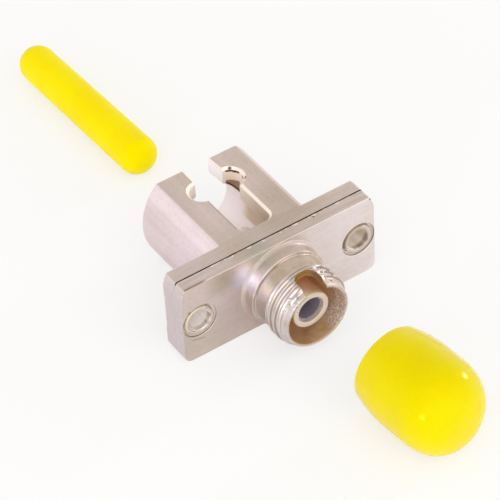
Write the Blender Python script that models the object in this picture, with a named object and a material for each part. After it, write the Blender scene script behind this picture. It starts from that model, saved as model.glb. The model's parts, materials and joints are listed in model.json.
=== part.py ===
"""Hybrid fibre adapter: a threaded, keyed port in front and a latched port behind.

The two metal half housings meet at a parting plane inside the flange and are
clamped by two hollow eyelets. Each half holds its own sleeve holder and split
sleeve. A yellow thread cap and a long yellow plug lie beside the adapter.

Frame: +X to the right, +Y from the threaded port to the latched port, +Z up.
The origin is on the flange's rear face (the panel seat), at the bottom centre.
All sizes below are in millimetres.
"""

import math

import bmesh
import bpy
import numpy as np
from mathutils import Matrix

MM = 0.001

# Flange: two plates that meet at the parting plane
FLANGE_WIDTH = 22.0
FLANGE_HEIGHT = 9.3
FRONT_PLATE = 1.4
REAR_PLATE = 1.85
FLANGE_CORNER = 0.9
SHOULDER_IN = 0.45
SHOULDER_DROP = 1.1
SHOULDER_CORNER = 0.36
SHOULDER_BLEND = 1.2
FACE_EDGE = 0.22
REAR_EDGE = 0.34
SEAM_EDGE = 0.1
PARTING_GAP = 0.02

# Threaded port
BOSS_DIAMETER = 8.35
BOSS_LENGTH = 1.45
BOSS_FILLET = 0.45
BOSS_EDGE = 0.12
FILLET_SINK = 0.02
NECK_DIAMETER = 7.65
NECK_LENGTH = 1.35
THREAD_DIAMETER = 8.0
THREAD_PITCH = 0.75
THREAD_DEPTH = 0.42
THREAD_TURNS = 3.6
THREAD_ROOT_SHARE = 0.12
THREAD_RUNOUT = 0.6
NOSE_LENGTH = 0.6
NOSE_DIAMETER = 6.95
NOSE_EDGE = 0.05
TUBE_OVERLAP = 0.4
THREADED_BORE = 6.4
THREADED_FLOOR = 0.15
RIM_EDGE = 0.12
KEYWAY_WIDTH = 2.3
KEYWAY_DEPTH = 2.75
KEYWAY_CORNER = 0.95
KEYWAY_ABOVE_HOLDER = 0.3

# Latched port
BARREL_DIAMETER = 13.0
BARREL_LENGTH = 10.7
BARREL_EDGE = 0.18
LATCHED_BORE = 6.5
LATCHED_FLOOR = 0.1
MOUTH_EDGE = 0.15
SLOT_WIDTH = 3.56
SLOT_CORNER = 0.75
LATCH_SLOT_WIDTH = 2.6
WINDOW_WIDTH = 5.76
WINDOW_LENGTH = 2.66
WINDOW_FROM_END = 3.55
SLOT_EDGE = 0.27
SLOT_FLOOR = 0.2
SLOT_OVERSHOOT = 0.2

# Eyelets and their holes
HOLE_FROM_END = 1.9
HOLE_DIAMETER = 3.0
FRONT_RECESS_DIAMETER = 3.7
FRONT_RECESS_DEPTH = 0.45
REAR_RECESS_DIAMETER = 5.6
REAR_RECESS_DEPTH = 0.32
EYELET_BORE = 2.3
EYELET_HEAD_DIAMETER = 3.36
EYELET_HEAD_SUNK = 0.02
EYELET_ROLL_DIAMETER = 3.7
EYELET_ROLL_SUNK = 0.03
EYELET_RIM = 0.08

# Sleeve holders and split sleeves
COLLAR_DIAMETER = 7.2
COLLAR_THICKNESS = 0.7
LARGE_HOLDER_DIAMETER = 4.0
LARGE_HOLDER_RECESS = 1.0
LARGE_HOLDER_LIP = 0.4
LARGE_HOLDER_EDGE = 0.15
LARGE_LIP_BORE = 2.8
LARGE_SLEEVE_OUTER = 3.2
LARGE_SLEEVE_INNER = 2.5
SMALL_HOLDER_DIAMETER = 2.9
SMALL_HOLDER_REACH = 3.7
SMALL_HOLDER_LIP = 0.35
SMALL_HOLDER_EDGE = 0.12
SMALL_LIP_BORE = 1.36
SMALL_SLEEVE_OUTER = 1.62
SMALL_SLEEVE_INNER = 1.25
SLEEVE_SLIT = 0.3

# Dust caps
CAP_DIAMETER = 9.26
CAP_LENGTH = 10.8
CAP_WALL = 0.45
CAP_MOUTH_DIAMETER = 8.1
CAP_TAPER_LENGTH = 4.0
CAP_DOME_LENGTH = 4.98
CAP_DOME_POWER = 2.54
CAP_LIP_EDGE = 0.2
CAP_TIP_SIDE = -0.2
CAP_TIP_DROP = 0.41
CAP_MOUTH = (1.618, -18.147)
CAP_TURN = 4.53
PLUG_LENGTH = 21.92
PLUG_NEAR_DIAMETER = 4.13
PLUG_FAR_DIAMETER = 3.96
PLUG_NEAR_DOME = 1.85
PLUG_FAR_DOME = 2.1
PLUG_NEAR_END = (0.304, 20.496)
PLUG_TURN = 1.72

# Clearances
FIT_CLEARANCE = 0.04
SEAT_CLEARANCE = 0.02

# How far a cutter reaches past the face that it opens
OVERSHOOT = 1.0

# Facets, and the digits that make flush faces agree exactly
SNAP_DIGITS = 4
ROUND_STEPS = 56
SMALL_STEPS = 32
CAP_STEPS = 40
CORNER_STEPS = 5
FILLET_STEPS = 6
BARREL_STEPS = 14
WINDOW_STEPS = 14
SLEEVE_STEPS = 36
THREAD_ROWS = 6

# Places worked out from the sizes above
AXIS_Z = FLANGE_HEIGHT / 2
PARTING_Y = -REAR_PLATE
FACE_Y = PARTING_Y - FRONT_PLATE
BOSS_Y = FACE_Y - BOSS_LENGTH
THREAD_START_Y = BOSS_Y - NECK_LENGTH
THREAD_END_Y = THREAD_START_Y - THREAD_TURNS * THREAD_PITCH
RIM_Y = THREAD_END_Y - NOSE_LENGTH
HOLE_X = FLANGE_WIDTH / 2 - HOLE_FROM_END

NICKEL = ("nickel_plate", (0.62, 0.56, 0.52, 1.0), 0.32, 1.0)
HOLDER_NICKEL = ("holder_nickel", (0.66, 0.60, 0.54, 1.0), 0.28, 1.0)
SLEEVE_BRONZE = ("sleeve_bronze", (0.45, 0.43, 0.46, 1.0), 0.3, 1.0)
YELLOW_VINYL = ("yellow_vinyl", (0.95, 0.72, 0.01, 1.0), 0.4, 0.0)


def clear_scene():
    for obj in list(bpy.data.objects):
        bpy.data.objects.remove(obj, do_unlink=True)


def material(name, colour, roughness, metallic):
    """A Principled material, made once and then reused by name."""
    found = bpy.data.materials.get(name)
    if found:
        return found
    made = bpy.data.materials.new(name)
    made.use_nodes = True
    made.diffuse_color = colour
    shader = made.node_tree.nodes["Principled BSDF"]
    shader.inputs["Base Color"].default_value = colour
    shader.inputs["Roughness"].default_value = roughness
    shader.inputs["Metallic"].default_value = metallic
    return made


def place(name, form, finish=None):
    """Links a bmesh, in millimetres, as an object with outward faces and smooth round sides."""
    for vert in form.verts:
        vert.co = [round(value, SNAP_DIGITS) for value in vert.co]
    bmesh.ops.remove_doubles(form, verts=form.verts, dist=1e-5)
    bmesh.ops.recalc_face_normals(form, faces=form.faces)
    bmesh.ops.transform(form, matrix=Matrix.Scale(MM, 4), verts=form.verts)
    mesh = bpy.data.meshes.new(name)
    form.to_mesh(mesh)
    form.free()
    mesh.shade_smooth()
    mesh.set_sharp_from_angle(angle=math.radians(35))
    obj = bpy.data.objects.new(name, mesh)
    bpy.context.scene.collection.objects.link(obj)
    if finish:
        mesh.materials.append(material(*finish))
    return obj


def as_cutter(obj):
    obj.hide_render = True
    obj.display_type = "WIRE"
    return obj


def combine(target, tool, operation):
    """Adds one Boolean to the target. The tool stays hidden from renders."""
    step = target.modifiers.new(tool.name, "BOOLEAN")
    step.operation = operation
    step.solver = "EXACT"
    step.object = as_cutter(tool)


def arc(centre, radius, start, end, steps):
    """Points on an arc in a plane, from start to end degrees, both included."""
    angles = np.radians(np.linspace(start, end, steps + 1))
    return [
        (centre[0] + radius * math.cos(a), centre[1] + radius * math.sin(a))
        for a in angles
    ]


def rounded_outline(corners, inset=0.0):
    """An outline through (x, z, radius) corners, anticlockwise, pulled in by inset."""
    points = []
    for i, (x, z, radius) in enumerate(corners):
        corner = np.array((x, z))
        back = np.array(corners[i - 1][:2]) - corner
        ahead = np.array(corners[(i + 1) % len(corners)][:2]) - corner
        back /= np.linalg.norm(back)
        ahead /= np.linalg.norm(ahead)
        half = math.acos(float(back @ ahead)) / 2
        middle = (back + ahead) / np.linalg.norm(back + ahead)
        centre = corner + middle * radius / math.sin(half)
        first = corner + back * radius / math.tan(half) - centre
        start = math.degrees(math.atan2(first[1], first[0]))
        turn = 180 - 2 * math.degrees(half)
        points += arc(centre, radius - inset, start, start + turn, CORNER_STEPS)
    return points


def flange_outline(inset=0.0):
    """The flange in the XZ plane: round corners below and slanted shoulders above."""
    end = FLANGE_WIDTH / 2
    top = end - SHOULDER_IN
    shoulder = FLANGE_HEIGHT - SHOULDER_DROP
    corners = [
        (top, FLANGE_HEIGHT, SHOULDER_CORNER),
        (-top, FLANGE_HEIGHT, SHOULDER_CORNER),
        (-end, shoulder, SHOULDER_BLEND),
        (-end, 0.0, FLANGE_CORNER),
        (end, 0.0, FLANGE_CORNER),
        (end, shoulder, SHOULDER_BLEND),
    ]
    return rounded_outline(corners, inset)


def flatted_round(diameter, flat_height, inset=0.0):
    """Outline in the XZ plane of a round bar with a flat above and below."""
    radius = diameter / 2 - inset
    half = flat_height / 2 - inset
    reach = math.degrees(math.asin(half / radius))
    points = arc((0, AXIS_Z), radius, -reach, reach, BARREL_STEPS)
    return points + arc((0, AXIS_Z), radius, 180 - reach, 180 + reach, BARREL_STEPS)


def loft(name, sections, finish=None):
    """A closed solid through outlines of equal count. A section is a list of 3D points."""
    form = bmesh.new()
    loops = [[form.verts.new(point) for point in section] for section in sections]
    for near, far in zip(loops, loops[1:]):
        for i in range(len(near)):
            j = (i + 1) % len(near)
            form.faces.new((near[i], near[j], far[j], far[i]))
    form.faces.new(loops[0])
    form.faces.new(loops[-1])
    return place(name, form, finish)


def along_y(outline, y):
    return [(x, y, z) for x, z in outline]


def along_z(outline, z):
    return [(x, y, z) for x, y in outline]


def turned(name, profile, steps=ROUND_STEPS, centre=(0.0, AXIS_Z), finish=None):
    """Revolves a closed profile of (radius, y) points about a line along Y."""
    form = bmesh.new()
    verts = [form.verts.new((radius, y, 0)) for radius, y in profile]
    edges = [
        form.edges.new((verts[i], verts[(i + 1) % len(verts)]))
        for i in range(len(verts))
        if profile[i][0] > 0 or profile[(i + 1) % len(verts)][0] > 0
    ]
    bmesh.ops.spin(
        form,
        geom=verts + edges,
        cent=(0, 0, 0),
        axis=(0, 1, 0),
        angle=math.tau,
        steps=steps,
        use_merge=True,
    )
    bmesh.ops.translate(form, vec=(centre[0], 0, centre[1]), verts=form.verts)
    return place(name, form, finish)


def thread_radius(turns, y):
    """Radius of the thread at a part turn and a place along Y, faded out at both ends."""
    phase = (y - THREAD_START_Y) / THREAD_PITCH - turns
    wave = np.abs((phase % 1.0) - 0.5) * 2
    crest = np.clip((wave - THREAD_ROOT_SHARE) / (1 - 2 * THREAD_ROOT_SHARE), 0, 1)
    runout = THREAD_RUNOUT * THREAD_PITCH
    fade_in = np.clip((THREAD_START_Y - y) / runout, 0, 1)
    fade_out = np.clip((y - THREAD_END_Y) / runout, 0, 1)
    root = THREAD_DIAMETER / 2 - THREAD_DEPTH
    return root + THREAD_DEPTH * crest * np.minimum(fade_in, fade_out)


def port_rings():
    """(y, radius) rings of the port's outside, from inside the plate to the rim."""
    boss = BOSS_DIAMETER / 2
    neck = NECK_DIAMETER / 2
    rings = [(FACE_Y + FRONT_PLATE / 2, boss + BOSS_FILLET)]
    fillet_centre = (FACE_Y + FILLET_SINK - BOSS_FILLET, boss + BOSS_FILLET)
    rings += arc(fillet_centre, BOSS_FILLET, 0, -90, FILLET_STEPS)
    rings += [(BOSS_Y + BOSS_EDGE, boss), (BOSS_Y, boss - BOSS_EDGE)]
    rings += [(BOSS_Y - BOSS_EDGE, neck)]
    return rings


def threaded_outside():
    """The boss, neck, thread and nose as one closed tube of rings.

    Each ring is a circle about the axis. Along the thread its radius follows a
    helical wave, so the crests climb one pitch in each turn.
    """
    plain = port_rings()
    count = int(round(THREAD_TURNS * THREAD_ROWS))
    thread_y = np.linspace(THREAD_START_Y, THREAD_END_Y, count + 1)
    turns = np.arange(ROUND_STEPS) / ROUND_STEPS
    angle = turns * math.tau
    rings = [np.stack([np.full(ROUND_STEPS, r), np.full(ROUND_STEPS, y)]) for y, r in plain]
    for y in thread_y:
        rings.append(np.stack([thread_radius(turns, y), np.full(ROUND_STEPS, y)]))
    inner = THREADED_BORE / 2 - TUBE_OVERLAP
    nose = NOSE_DIAMETER / 2
    rim = [(RIM_Y + NOSE_EDGE, nose + NOSE_EDGE), (RIM_Y, nose), (RIM_Y, inner)]
    for y, radius in rim:
        rings.append(np.stack([np.full(ROUND_STEPS, radius), np.full(ROUND_STEPS, y)]))
    rings.append(np.stack([np.full(ROUND_STEPS, inner), np.full(ROUND_STEPS, plain[0][0])]))
    limit = AXIS_Z - FACE_EDGE
    form = bmesh.new()
    loops = []
    for radius, y in rings:
        x = radius * np.sin(angle)
        z = np.clip(radius * np.cos(angle), -limit, limit) + AXIS_Z
        loops.append([form.verts.new(point) for point in zip(x, y, z)])
    for k, near in enumerate(loops):
        far = loops[(k + 1) % len(loops)]
        for i in range(ROUND_STEPS):
            j = (i + 1) % ROUND_STEPS
            form.faces.new((near[i], near[j], far[j], far[i]))
    return place("threaded_outside", form)


def keyway_cutter():
    """A U-shaped slot in plan, open at the rim, through the top wall of the port."""
    half = KEYWAY_WIDTH / 2
    stop = RIM_Y + KEYWAY_DEPTH
    corner = KEYWAY_CORNER
    right = arc((half - corner, stop - corner), corner, 0, 90, CORNER_STEPS)
    left = arc((corner - half, stop - corner), corner, 90, 180, CORNER_STEPS)
    outside = RIM_Y - OVERSHOOT
    outline = [(half, outside)] + right + left + [(-half, outside)]
    low = AXIS_Z + LARGE_HOLDER_DIAMETER / 2 + KEYWAY_ABOVE_HOLDER
    high = AXIS_Z + THREAD_DIAMETER / 2 + OVERSHOOT
    return loft("keyway", [along_z(outline, low), along_z(outline, high)])


def eyelet_hole(name, side):
    """A through hole with a recess at each end, for one eyelet."""
    hole = HOLE_DIAMETER / 2
    front = FRONT_RECESS_DIAMETER / 2
    rear = REAR_RECESS_DIAMETER / 2
    front_floor = FACE_Y + FRONT_RECESS_DEPTH
    rear_floor = -REAR_RECESS_DEPTH
    profile = [
        (0, FACE_Y - OVERSHOOT),
        (front, FACE_Y - OVERSHOOT),
        (front, front_floor),
        (hole, front_floor),
        (hole, rear_floor),
        (rear, rear_floor),
        (rear, OVERSHOOT),
        (0, OVERSHOOT),
    ]
    return turned(name, profile, SMALL_STEPS, (side * HOLE_X, AXIS_Z))


def plate(name, y_from, y_to, edge_from, edge_to, finish):
    """A flange plate with a small edge break on each face."""
    sections = []
    for y, inset in [
        (y_from, edge_from),
        (y_from + edge_from, 0),
        (y_to - edge_to, 0),
        (y_to, edge_to),
    ]:
        sections.append(along_y(flange_outline(inset), y))
    return loft(name, sections, finish)


def threaded_cavity():
    """The port bore, the holder's hole through the web and the collar's pocket."""
    bore = THREADED_BORE / 2
    hole = LARGE_HOLDER_DIAMETER / 2 + FIT_CLEARANCE
    pocket = COLLAR_DIAMETER / 2 + FIT_CLEARANCE
    floor = FACE_Y + THREADED_FLOOR
    pocket_floor = PARTING_Y - COLLAR_THICKNESS - SEAT_CLEARANCE
    profile = [
        (0, RIM_Y - OVERSHOOT),
        (bore + RIM_EDGE + OVERSHOOT, RIM_Y - OVERSHOOT),
        (bore, RIM_Y + RIM_EDGE),
        (bore, floor),
        (hole, floor),
        (hole, pocket_floor),
        (pocket, pocket_floor),
        (pocket, OVERSHOOT),
        (0, OVERSHOOT),
    ]
    return turned("threaded_cavity", profile)


def threaded_housing(holes):
    body = plate(
        "threaded_housing", FACE_Y, PARTING_Y - PARTING_GAP / 2, FACE_EDGE, SEAM_EDGE, NICKEL
    )
    combine(body, threaded_outside(), "UNION")
    combine(body, threaded_cavity(), "DIFFERENCE")
    combine(body, keyway_cutter(), "DIFFERENCE")
    for cutter in holes:
        combine(body, cutter, "DIFFERENCE")
    return body


def slot_outline(grow):
    """Plan outline of the latch slot, its cross window and the wide front slot.

    The window is an obround that lies across the slot. Growing the outline
    moves every side out by the same amount, for the edge break at the top.
    """
    wide = SLOT_WIDTH / 2 + grow
    narrow = LATCH_SLOT_WIDTH / 2 + grow
    radius = WINDOW_LENGTH / 2 + grow
    window_y = BARREL_LENGTH - WINDOW_FROM_END
    reach = WINDOW_WIDTH / 2 - WINDOW_LENGTH / 2
    corner = SLOT_CORNER + grow
    stop = SLOT_EDGE - grow
    outside = BARREL_LENGTH + OVERSHOOT
    start = math.degrees(math.acos(max(0.0, narrow - reach) / radius))
    join = -math.degrees(math.acos(max(0.0, wide - reach) / radius))
    side = [(narrow, outside), (narrow, window_y + radius * math.sin(math.radians(start)))]
    side += arc((reach, window_y), radius, start, join, WINDOW_STEPS)
    side += arc((wide - corner, stop + corner), corner, 0, -90, CORNER_STEPS)
    return side + [(-x, y) for x, y in reversed(side)]


def slot_cutter():
    top = FLANGE_HEIGHT
    levels = [
        (AXIS_Z + SLOT_FLOOR, 0.0),
        (top - SLOT_EDGE, 0.0),
        (top + SLOT_OVERSHOOT, SLOT_EDGE + SLOT_OVERSHOOT),
    ]
    return loft("slot", [along_z(slot_outline(grow), z) for z, grow in levels])


def latched_cavity():
    """The collar's pocket, the holder's hole through the web and the port bore."""
    bore = LATCHED_BORE / 2
    hole = SMALL_HOLDER_DIAMETER / 2 + FIT_CLEARANCE
    pocket = COLLAR_DIAMETER / 2 + FIT_CLEARANCE
    floor = -LATCHED_FLOOR
    pocket_floor = PARTING_Y + COLLAR_THICKNESS + SEAT_CLEARANCE
    profile = [
        (0, PARTING_Y - OVERSHOOT),
        (pocket, PARTING_Y - OVERSHOOT),
        (pocket, pocket_floor),
        (hole, pocket_floor),
        (hole, floor),
        (bore, floor),
        (bore, BARREL_LENGTH - MOUTH_EDGE),
        (bore + MOUTH_EDGE + OVERSHOOT, BARREL_LENGTH + OVERSHOOT),
        (0, BARREL_LENGTH + OVERSHOOT),
    ]
    return turned("latched_cavity", profile)


def latched_housing(holes):
    body = plate(
        "latched_housing", PARTING_Y + PARTING_GAP / 2, 0, SEAM_EDGE, REAR_EDGE, NICKEL
    )
    sections = []
    for y, inset in [
        (-REAR_PLATE / 2, 0),
        (BARREL_LENGTH - BARREL_EDGE, 0),
        (BARREL_LENGTH, BARREL_EDGE),
    ]:
        sections.append(along_y(flatted_round(BARREL_DIAMETER, FLANGE_HEIGHT, inset), y))
    combine(body, loft("barrel", sections), "UNION")
    combine(body, latched_cavity(), "DIFFERENCE")
    combine(body, slot_cutter(), "DIFFERENCE")
    for cutter in holes:
        combine(body, cutter, "DIFFERENCE")
    return body


def eyelet(name, side):
    """A hollow rivet: a domed head in the front recess and a rolled end in the rear one."""
    bore = EYELET_BORE / 2
    shank = HOLE_DIAMETER / 2 - FIT_CLEARANCE
    head = EYELET_HEAD_DIAMETER / 2
    roll = EYELET_ROLL_DIAMETER / 2
    head_seat = FACE_Y + FRONT_RECESS_DEPTH - SEAT_CLEARANCE
    roll_seat = -REAR_RECESS_DEPTH + SEAT_CLEARANCE
    head_top = FACE_Y + EYELET_HEAD_SUNK
    roll_top = -EYELET_ROLL_SUNK
    dome = np.radians(np.linspace(150, 0, 5))
    head_base = head_seat - EYELET_RIM
    roll_base = roll_seat + EYELET_RIM
    profile = [(bore, head_base)]
    profile += [
        (
            (bore + head) / 2 + (head - bore) / 2 * math.cos(a),
            head_base + (head_top - head_base) * math.sin(a),
        )
        for a in dome
    ]
    profile += [(head, head_seat), (shank, head_seat), (shank, roll_seat), (roll, roll_seat)]
    profile += [
        (
            (bore + roll) / 2 + (roll - bore) / 2 * math.cos(a),
            roll_base + (roll_top - roll_base) * math.sin(a),
        )
        for a in dome[::-1]
    ]
    profile.append((bore, roll_base))
    return turned(name, profile, SMALL_STEPS, (side * HOLE_X, AXIS_Z), NICKEL)


def large_sleeve_holder():
    """A turned tube with a lip at the port end and a collar held at the parting plane."""
    outer = LARGE_HOLDER_DIAMETER / 2
    lip = LARGE_LIP_BORE / 2
    seat = LARGE_SLEEVE_OUTER / 2 + FIT_CLEARANCE
    collar = COLLAR_DIAMETER / 2
    tip = RIM_Y + LARGE_HOLDER_RECESS
    end = PARTING_Y - PARTING_GAP / 2
    edge = LARGE_HOLDER_EDGE
    profile = [
        (lip, tip + edge),
        (lip + edge, tip),
        (outer - edge, tip),
        (outer, tip + edge),
        (outer, PARTING_Y - COLLAR_THICKNESS),
        (collar, PARTING_Y - COLLAR_THICKNESS),
        (collar, end),
        (seat, end),
        (seat, tip + LARGE_HOLDER_LIP),
        (lip, tip + LARGE_HOLDER_LIP),
    ]
    return turned("large_sleeve_holder", profile, finish=HOLDER_NICKEL)


def small_sleeve_holder():
    """The slimmer tube of the latched port, with its own collar."""
    outer = SMALL_HOLDER_DIAMETER / 2
    lip = SMALL_LIP_BORE / 2
    seat = SMALL_SLEEVE_OUTER / 2 + FIT_CLEARANCE
    collar = COLLAR_DIAMETER / 2
    tip = SMALL_HOLDER_REACH
    start = PARTING_Y + PARTING_GAP / 2
    edge = SMALL_HOLDER_EDGE
    profile = [
        (seat, start),
        (collar, start),
        (collar, PARTING_Y + COLLAR_THICKNESS),
        (outer, PARTING_Y + COLLAR_THICKNESS),
        (outer, tip - edge),
        (outer - edge, tip),
        (lip + edge, tip),
        (lip, tip - edge),
        (lip, tip - SMALL_HOLDER_LIP),
        (seat, tip - SMALL_HOLDER_LIP),
    ]
    return turned("small_sleeve_holder", profile, SMALL_STEPS, finish=HOLDER_NICKEL)


def split_sleeve(name, outer, inner, y_from, y_to):
    """A spring tube with one slit along its top."""
    half_slit = math.degrees(math.asin(SLEEVE_SLIT / 2 / (inner / 2)))
    start = 90 + half_slit
    end = 450 - half_slit
    outline = arc((0, AXIS_Z), outer / 2, start, end, SLEEVE_STEPS)
    outline += arc((0, AXIS_Z), inner / 2, end, start, SLEEVE_STEPS)
    return loft(name, [along_y(outline, y_from), along_y(outline, y_to)], SLEEVE_BRONZE)


def cap_radius(along, widest, dome):
    """Outer or inner radius of the thread cap at a distance from its mouth.

    The wall widens from the mouth in a quarter wave, then closes in a dome whose
    section is a superellipse.
    """
    mouth = widest - (CAP_DIAMETER - CAP_MOUTH_DIAMETER) / 2
    dome_start = CAP_LENGTH - CAP_DOME_LENGTH
    if along < CAP_TAPER_LENGTH:
        return widest - (widest - mouth) * (1 - along / CAP_TAPER_LENGTH) ** 2
    if along < dome_start:
        return widest
    share = min(1.0, (along - dome_start) / dome)
    return widest * (1 - share**CAP_DOME_POWER) ** (1 / CAP_DOME_POWER)


def thread_cap():
    """A dip-moulded vinyl cap, closed at the near end, lying on its side.

    Its tip hangs a little to one side, where the vinyl ran as it was dipped.
    """
    outer = CAP_DIAMETER / 2
    inner = outer - CAP_WALL
    dome_start = CAP_LENGTH - CAP_DOME_LENGTH
    inner_dome = CAP_DOME_LENGTH - CAP_WALL
    edge = CAP_LIP_EDGE
    turn = np.linspace(0.25, math.pi / 2, 7)
    straight = np.linspace(edge, dome_start, 5)
    outer_dome = dome_start + CAP_DOME_LENGTH * np.sin(turn)
    inner_dome_y = dome_start + inner_dome * np.sin(turn)
    outside = [(0, cap_radius(0, outer, CAP_DOME_LENGTH) - edge / 2)]
    outside += [(y, cap_radius(y, outer, CAP_DOME_LENGTH)) for y in [*straight, *outer_dome]]
    inside = [(y, cap_radius(y, inner, inner_dome)) for y in [0, *straight[::2], *inner_dome_y]]
    form = bmesh.new()
    angle = np.linspace(0, math.tau, CAP_STEPS, endpoint=False)
    loops = []
    for y, radius in outside[::-1] + inside:
        drift = max(0.0, (y - dome_start) / CAP_DOME_LENGTH) ** 2
        x = radius * np.cos(angle) + CAP_TIP_SIDE * drift
        z = radius * np.sin(angle) - CAP_TIP_DROP * drift
        loops.append([form.verts.new((px, -y, pz)) for px, pz in zip(x, z)])
    for near, far in zip(loops, loops[1:]):
        for i in range(CAP_STEPS):
            j = (i + 1) % CAP_STEPS
            form.faces.new((near[i], near[j], far[j], far[i]))
    cap = place("thread_dust_cap", form, YELLOW_VINYL)
    cap.location = (CAP_MOUTH[0] * MM, CAP_MOUTH[1] * MM, outer * MM)
    cap.rotation_euler = (0, 0, math.radians(CAP_TURN))
    return cap


def long_plug():
    """A long tapered plug with a dome at each end, lying along its side."""
    near = PLUG_NEAR_DIAMETER / 2
    far = PLUG_FAR_DIAMETER / 2
    body = PLUG_LENGTH - PLUG_NEAR_DOME - PLUG_FAR_DOME
    turn = np.linspace(0, math.pi / 2, 8)
    profile = [(near * math.sin(a), PLUG_NEAR_DOME * (1 - math.cos(a))) for a in turn]
    profile += [
        (far * math.cos(a), PLUG_NEAR_DOME + body + PLUG_FAR_DOME * math.sin(a)) for a in turn[:-1]
    ]
    profile.append((0.0, PLUG_LENGTH))
    plug = turned("long_dust_plug", profile, CAP_STEPS, (0.0, 0.0), YELLOW_VINYL)
    lean = math.atan((near - far) / body)
    plug.location = (PLUG_NEAR_END[0] * MM, PLUG_NEAR_END[1] * MM, near * MM)
    plug.rotation_euler = (-lean, 0, math.radians(PLUG_TURN))
    return plug


def main():
    clear_scene()
    holes = [eyelet_hole("left_hole", -1), eyelet_hole("right_hole", 1)]
    threaded_housing(holes)
    latched_housing(holes)
    large_sleeve_holder()
    small_sleeve_holder()
    tip = RIM_Y + LARGE_HOLDER_RECESS + LARGE_HOLDER_LIP
    split_sleeve(
        "large_split_sleeve",
        LARGE_SLEEVE_OUTER,
        LARGE_SLEEVE_INNER,
        tip + SEAT_CLEARANCE,
        PARTING_Y - PARTING_GAP / 2 - SEAT_CLEARANCE,
    )
    split_sleeve(
        "small_split_sleeve",
        SMALL_SLEEVE_OUTER,
        SMALL_SLEEVE_INNER,
        PARTING_Y + PARTING_GAP / 2 + SEAT_CLEARANCE,
        SMALL_HOLDER_REACH - SMALL_HOLDER_LIP - SEAT_CLEARANCE,
    )
    eyelet("eyelet_left", -1)
    eyelet("eyelet_right", 1)
    thread_cap()
    long_plug()
    bpy.context.view_layer.update()


main()
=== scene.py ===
"""Hybrid fibre adapter with its two dust caps, dressed for a render.

The file is laid out as an add-on: sizes and finishes are properties, and each piece
or group of like pieces has an operator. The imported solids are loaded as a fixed
frame. Each piece made here is a numpy surface that stands in the same place as the
solid it replaces, with finer threads, rounds and edges.

Frame: +X to the right, +Y from the threaded port to the latched port, +Z up.
Shapes are worked out in millimetres and put into meshes in metres.
"""

import json
import math

import bmesh
import bpy
import numpy as np
from mathutils import Matrix, Vector

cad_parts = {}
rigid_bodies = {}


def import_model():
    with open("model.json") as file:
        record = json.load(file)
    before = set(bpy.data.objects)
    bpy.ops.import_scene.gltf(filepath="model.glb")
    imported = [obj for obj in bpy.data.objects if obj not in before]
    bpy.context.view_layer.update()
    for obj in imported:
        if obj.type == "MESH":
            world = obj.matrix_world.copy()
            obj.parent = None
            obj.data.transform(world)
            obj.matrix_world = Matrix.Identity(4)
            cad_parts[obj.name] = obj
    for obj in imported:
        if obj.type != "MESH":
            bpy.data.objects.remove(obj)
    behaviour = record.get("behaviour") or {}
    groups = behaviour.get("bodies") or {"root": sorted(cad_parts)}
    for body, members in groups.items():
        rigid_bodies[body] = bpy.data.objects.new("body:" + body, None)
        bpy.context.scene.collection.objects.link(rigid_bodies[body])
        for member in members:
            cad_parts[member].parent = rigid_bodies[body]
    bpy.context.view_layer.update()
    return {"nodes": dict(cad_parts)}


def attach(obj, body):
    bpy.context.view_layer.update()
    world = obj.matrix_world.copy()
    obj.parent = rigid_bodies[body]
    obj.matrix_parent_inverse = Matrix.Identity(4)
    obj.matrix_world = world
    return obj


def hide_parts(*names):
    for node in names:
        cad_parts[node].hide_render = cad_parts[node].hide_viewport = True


bl_info = {
    "name": "Hybrid fibre adapter",
    "version": (1, 0, 0),
    "blender": (4, 5, 0),
    "location": "View3D > Sidebar > Adapter",
    "description": "Builds a metal hybrid fibre adapter and its dust caps as fine surfaces",
    "category": "Object",
}

for startup_object in list(bpy.data.objects):
    bpy.data.objects.remove(startup_object, do_unlink=True)

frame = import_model()

MM = 0.001

# Flange: two plates that meet at the parting plane
FLANGE_WIDTH = 22.0
FLANGE_HEIGHT = 9.3
FRONT_PLATE = 1.4
REAR_PLATE = 1.85
FLANGE_CORNER = 0.9
SHOULDER_IN = 0.45
SHOULDER_DROP = 1.1
SHOULDER_CORNER = 0.36
SHOULDER_BLEND = 1.2
FACE_EDGE = 0.08
REAR_EDGE = 0.34
SEAM_EDGE = 0.02
PARTING_GAP = 0.02

# Threaded port
BOSS_DIAMETER = 8.35
BOSS_LENGTH = 1.45
BOSS_FILLET = 0.45
NECK_DIAMETER = 7.65
NECK_LENGTH = 1.35
THREAD_DIAMETER = 8.0
THREAD_PITCH = 0.75
THREAD_TURNS = 3.6
THREAD_WORN_DIAMETER = 7.8
THREAD_WORN_WIDTH = 0.5
NOSE_LENGTH = 0.6
NOSE_DIAMETER = 6.95
THREADED_BORE = 6.4
THREADED_FLOOR = 0.15
KEYWAY_WIDTH = 2.3
KEYWAY_DEPTH = 2.42
KEYWAY_CORNER = 0.85

# Latched port
BARREL_DIAMETER = 13.0
BARREL_LENGTH = 10.7
LATCHED_BORE = 6.5
LATCHED_FLOOR = 0.1
SLOT_WIDTH = 3.56
SLOT_CORNER = 0.75
LATCH_SLOT_WIDTH = 2.6
WINDOW_WIDTH = 5.76
WINDOW_LENGTH = 2.66
WINDOW_FROM_END = 3.55
SLOT_EDGE = 0.27

# Eyelets and their holes
HOLE_X = 9.1
HOLE_DIAMETER = 3.0
FRONT_RECESS_DIAMETER = 3.7
FRONT_RECESS_DEPTH = 0.45
REAR_RECESS_DIAMETER = 5.6
REAR_RECESS_DEPTH = 0.32
EYELET_BORE = 2.3
EYELET_HEAD_DIAMETER = 3.36
EYELET_ROLL_DIAMETER = 3.7

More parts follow.
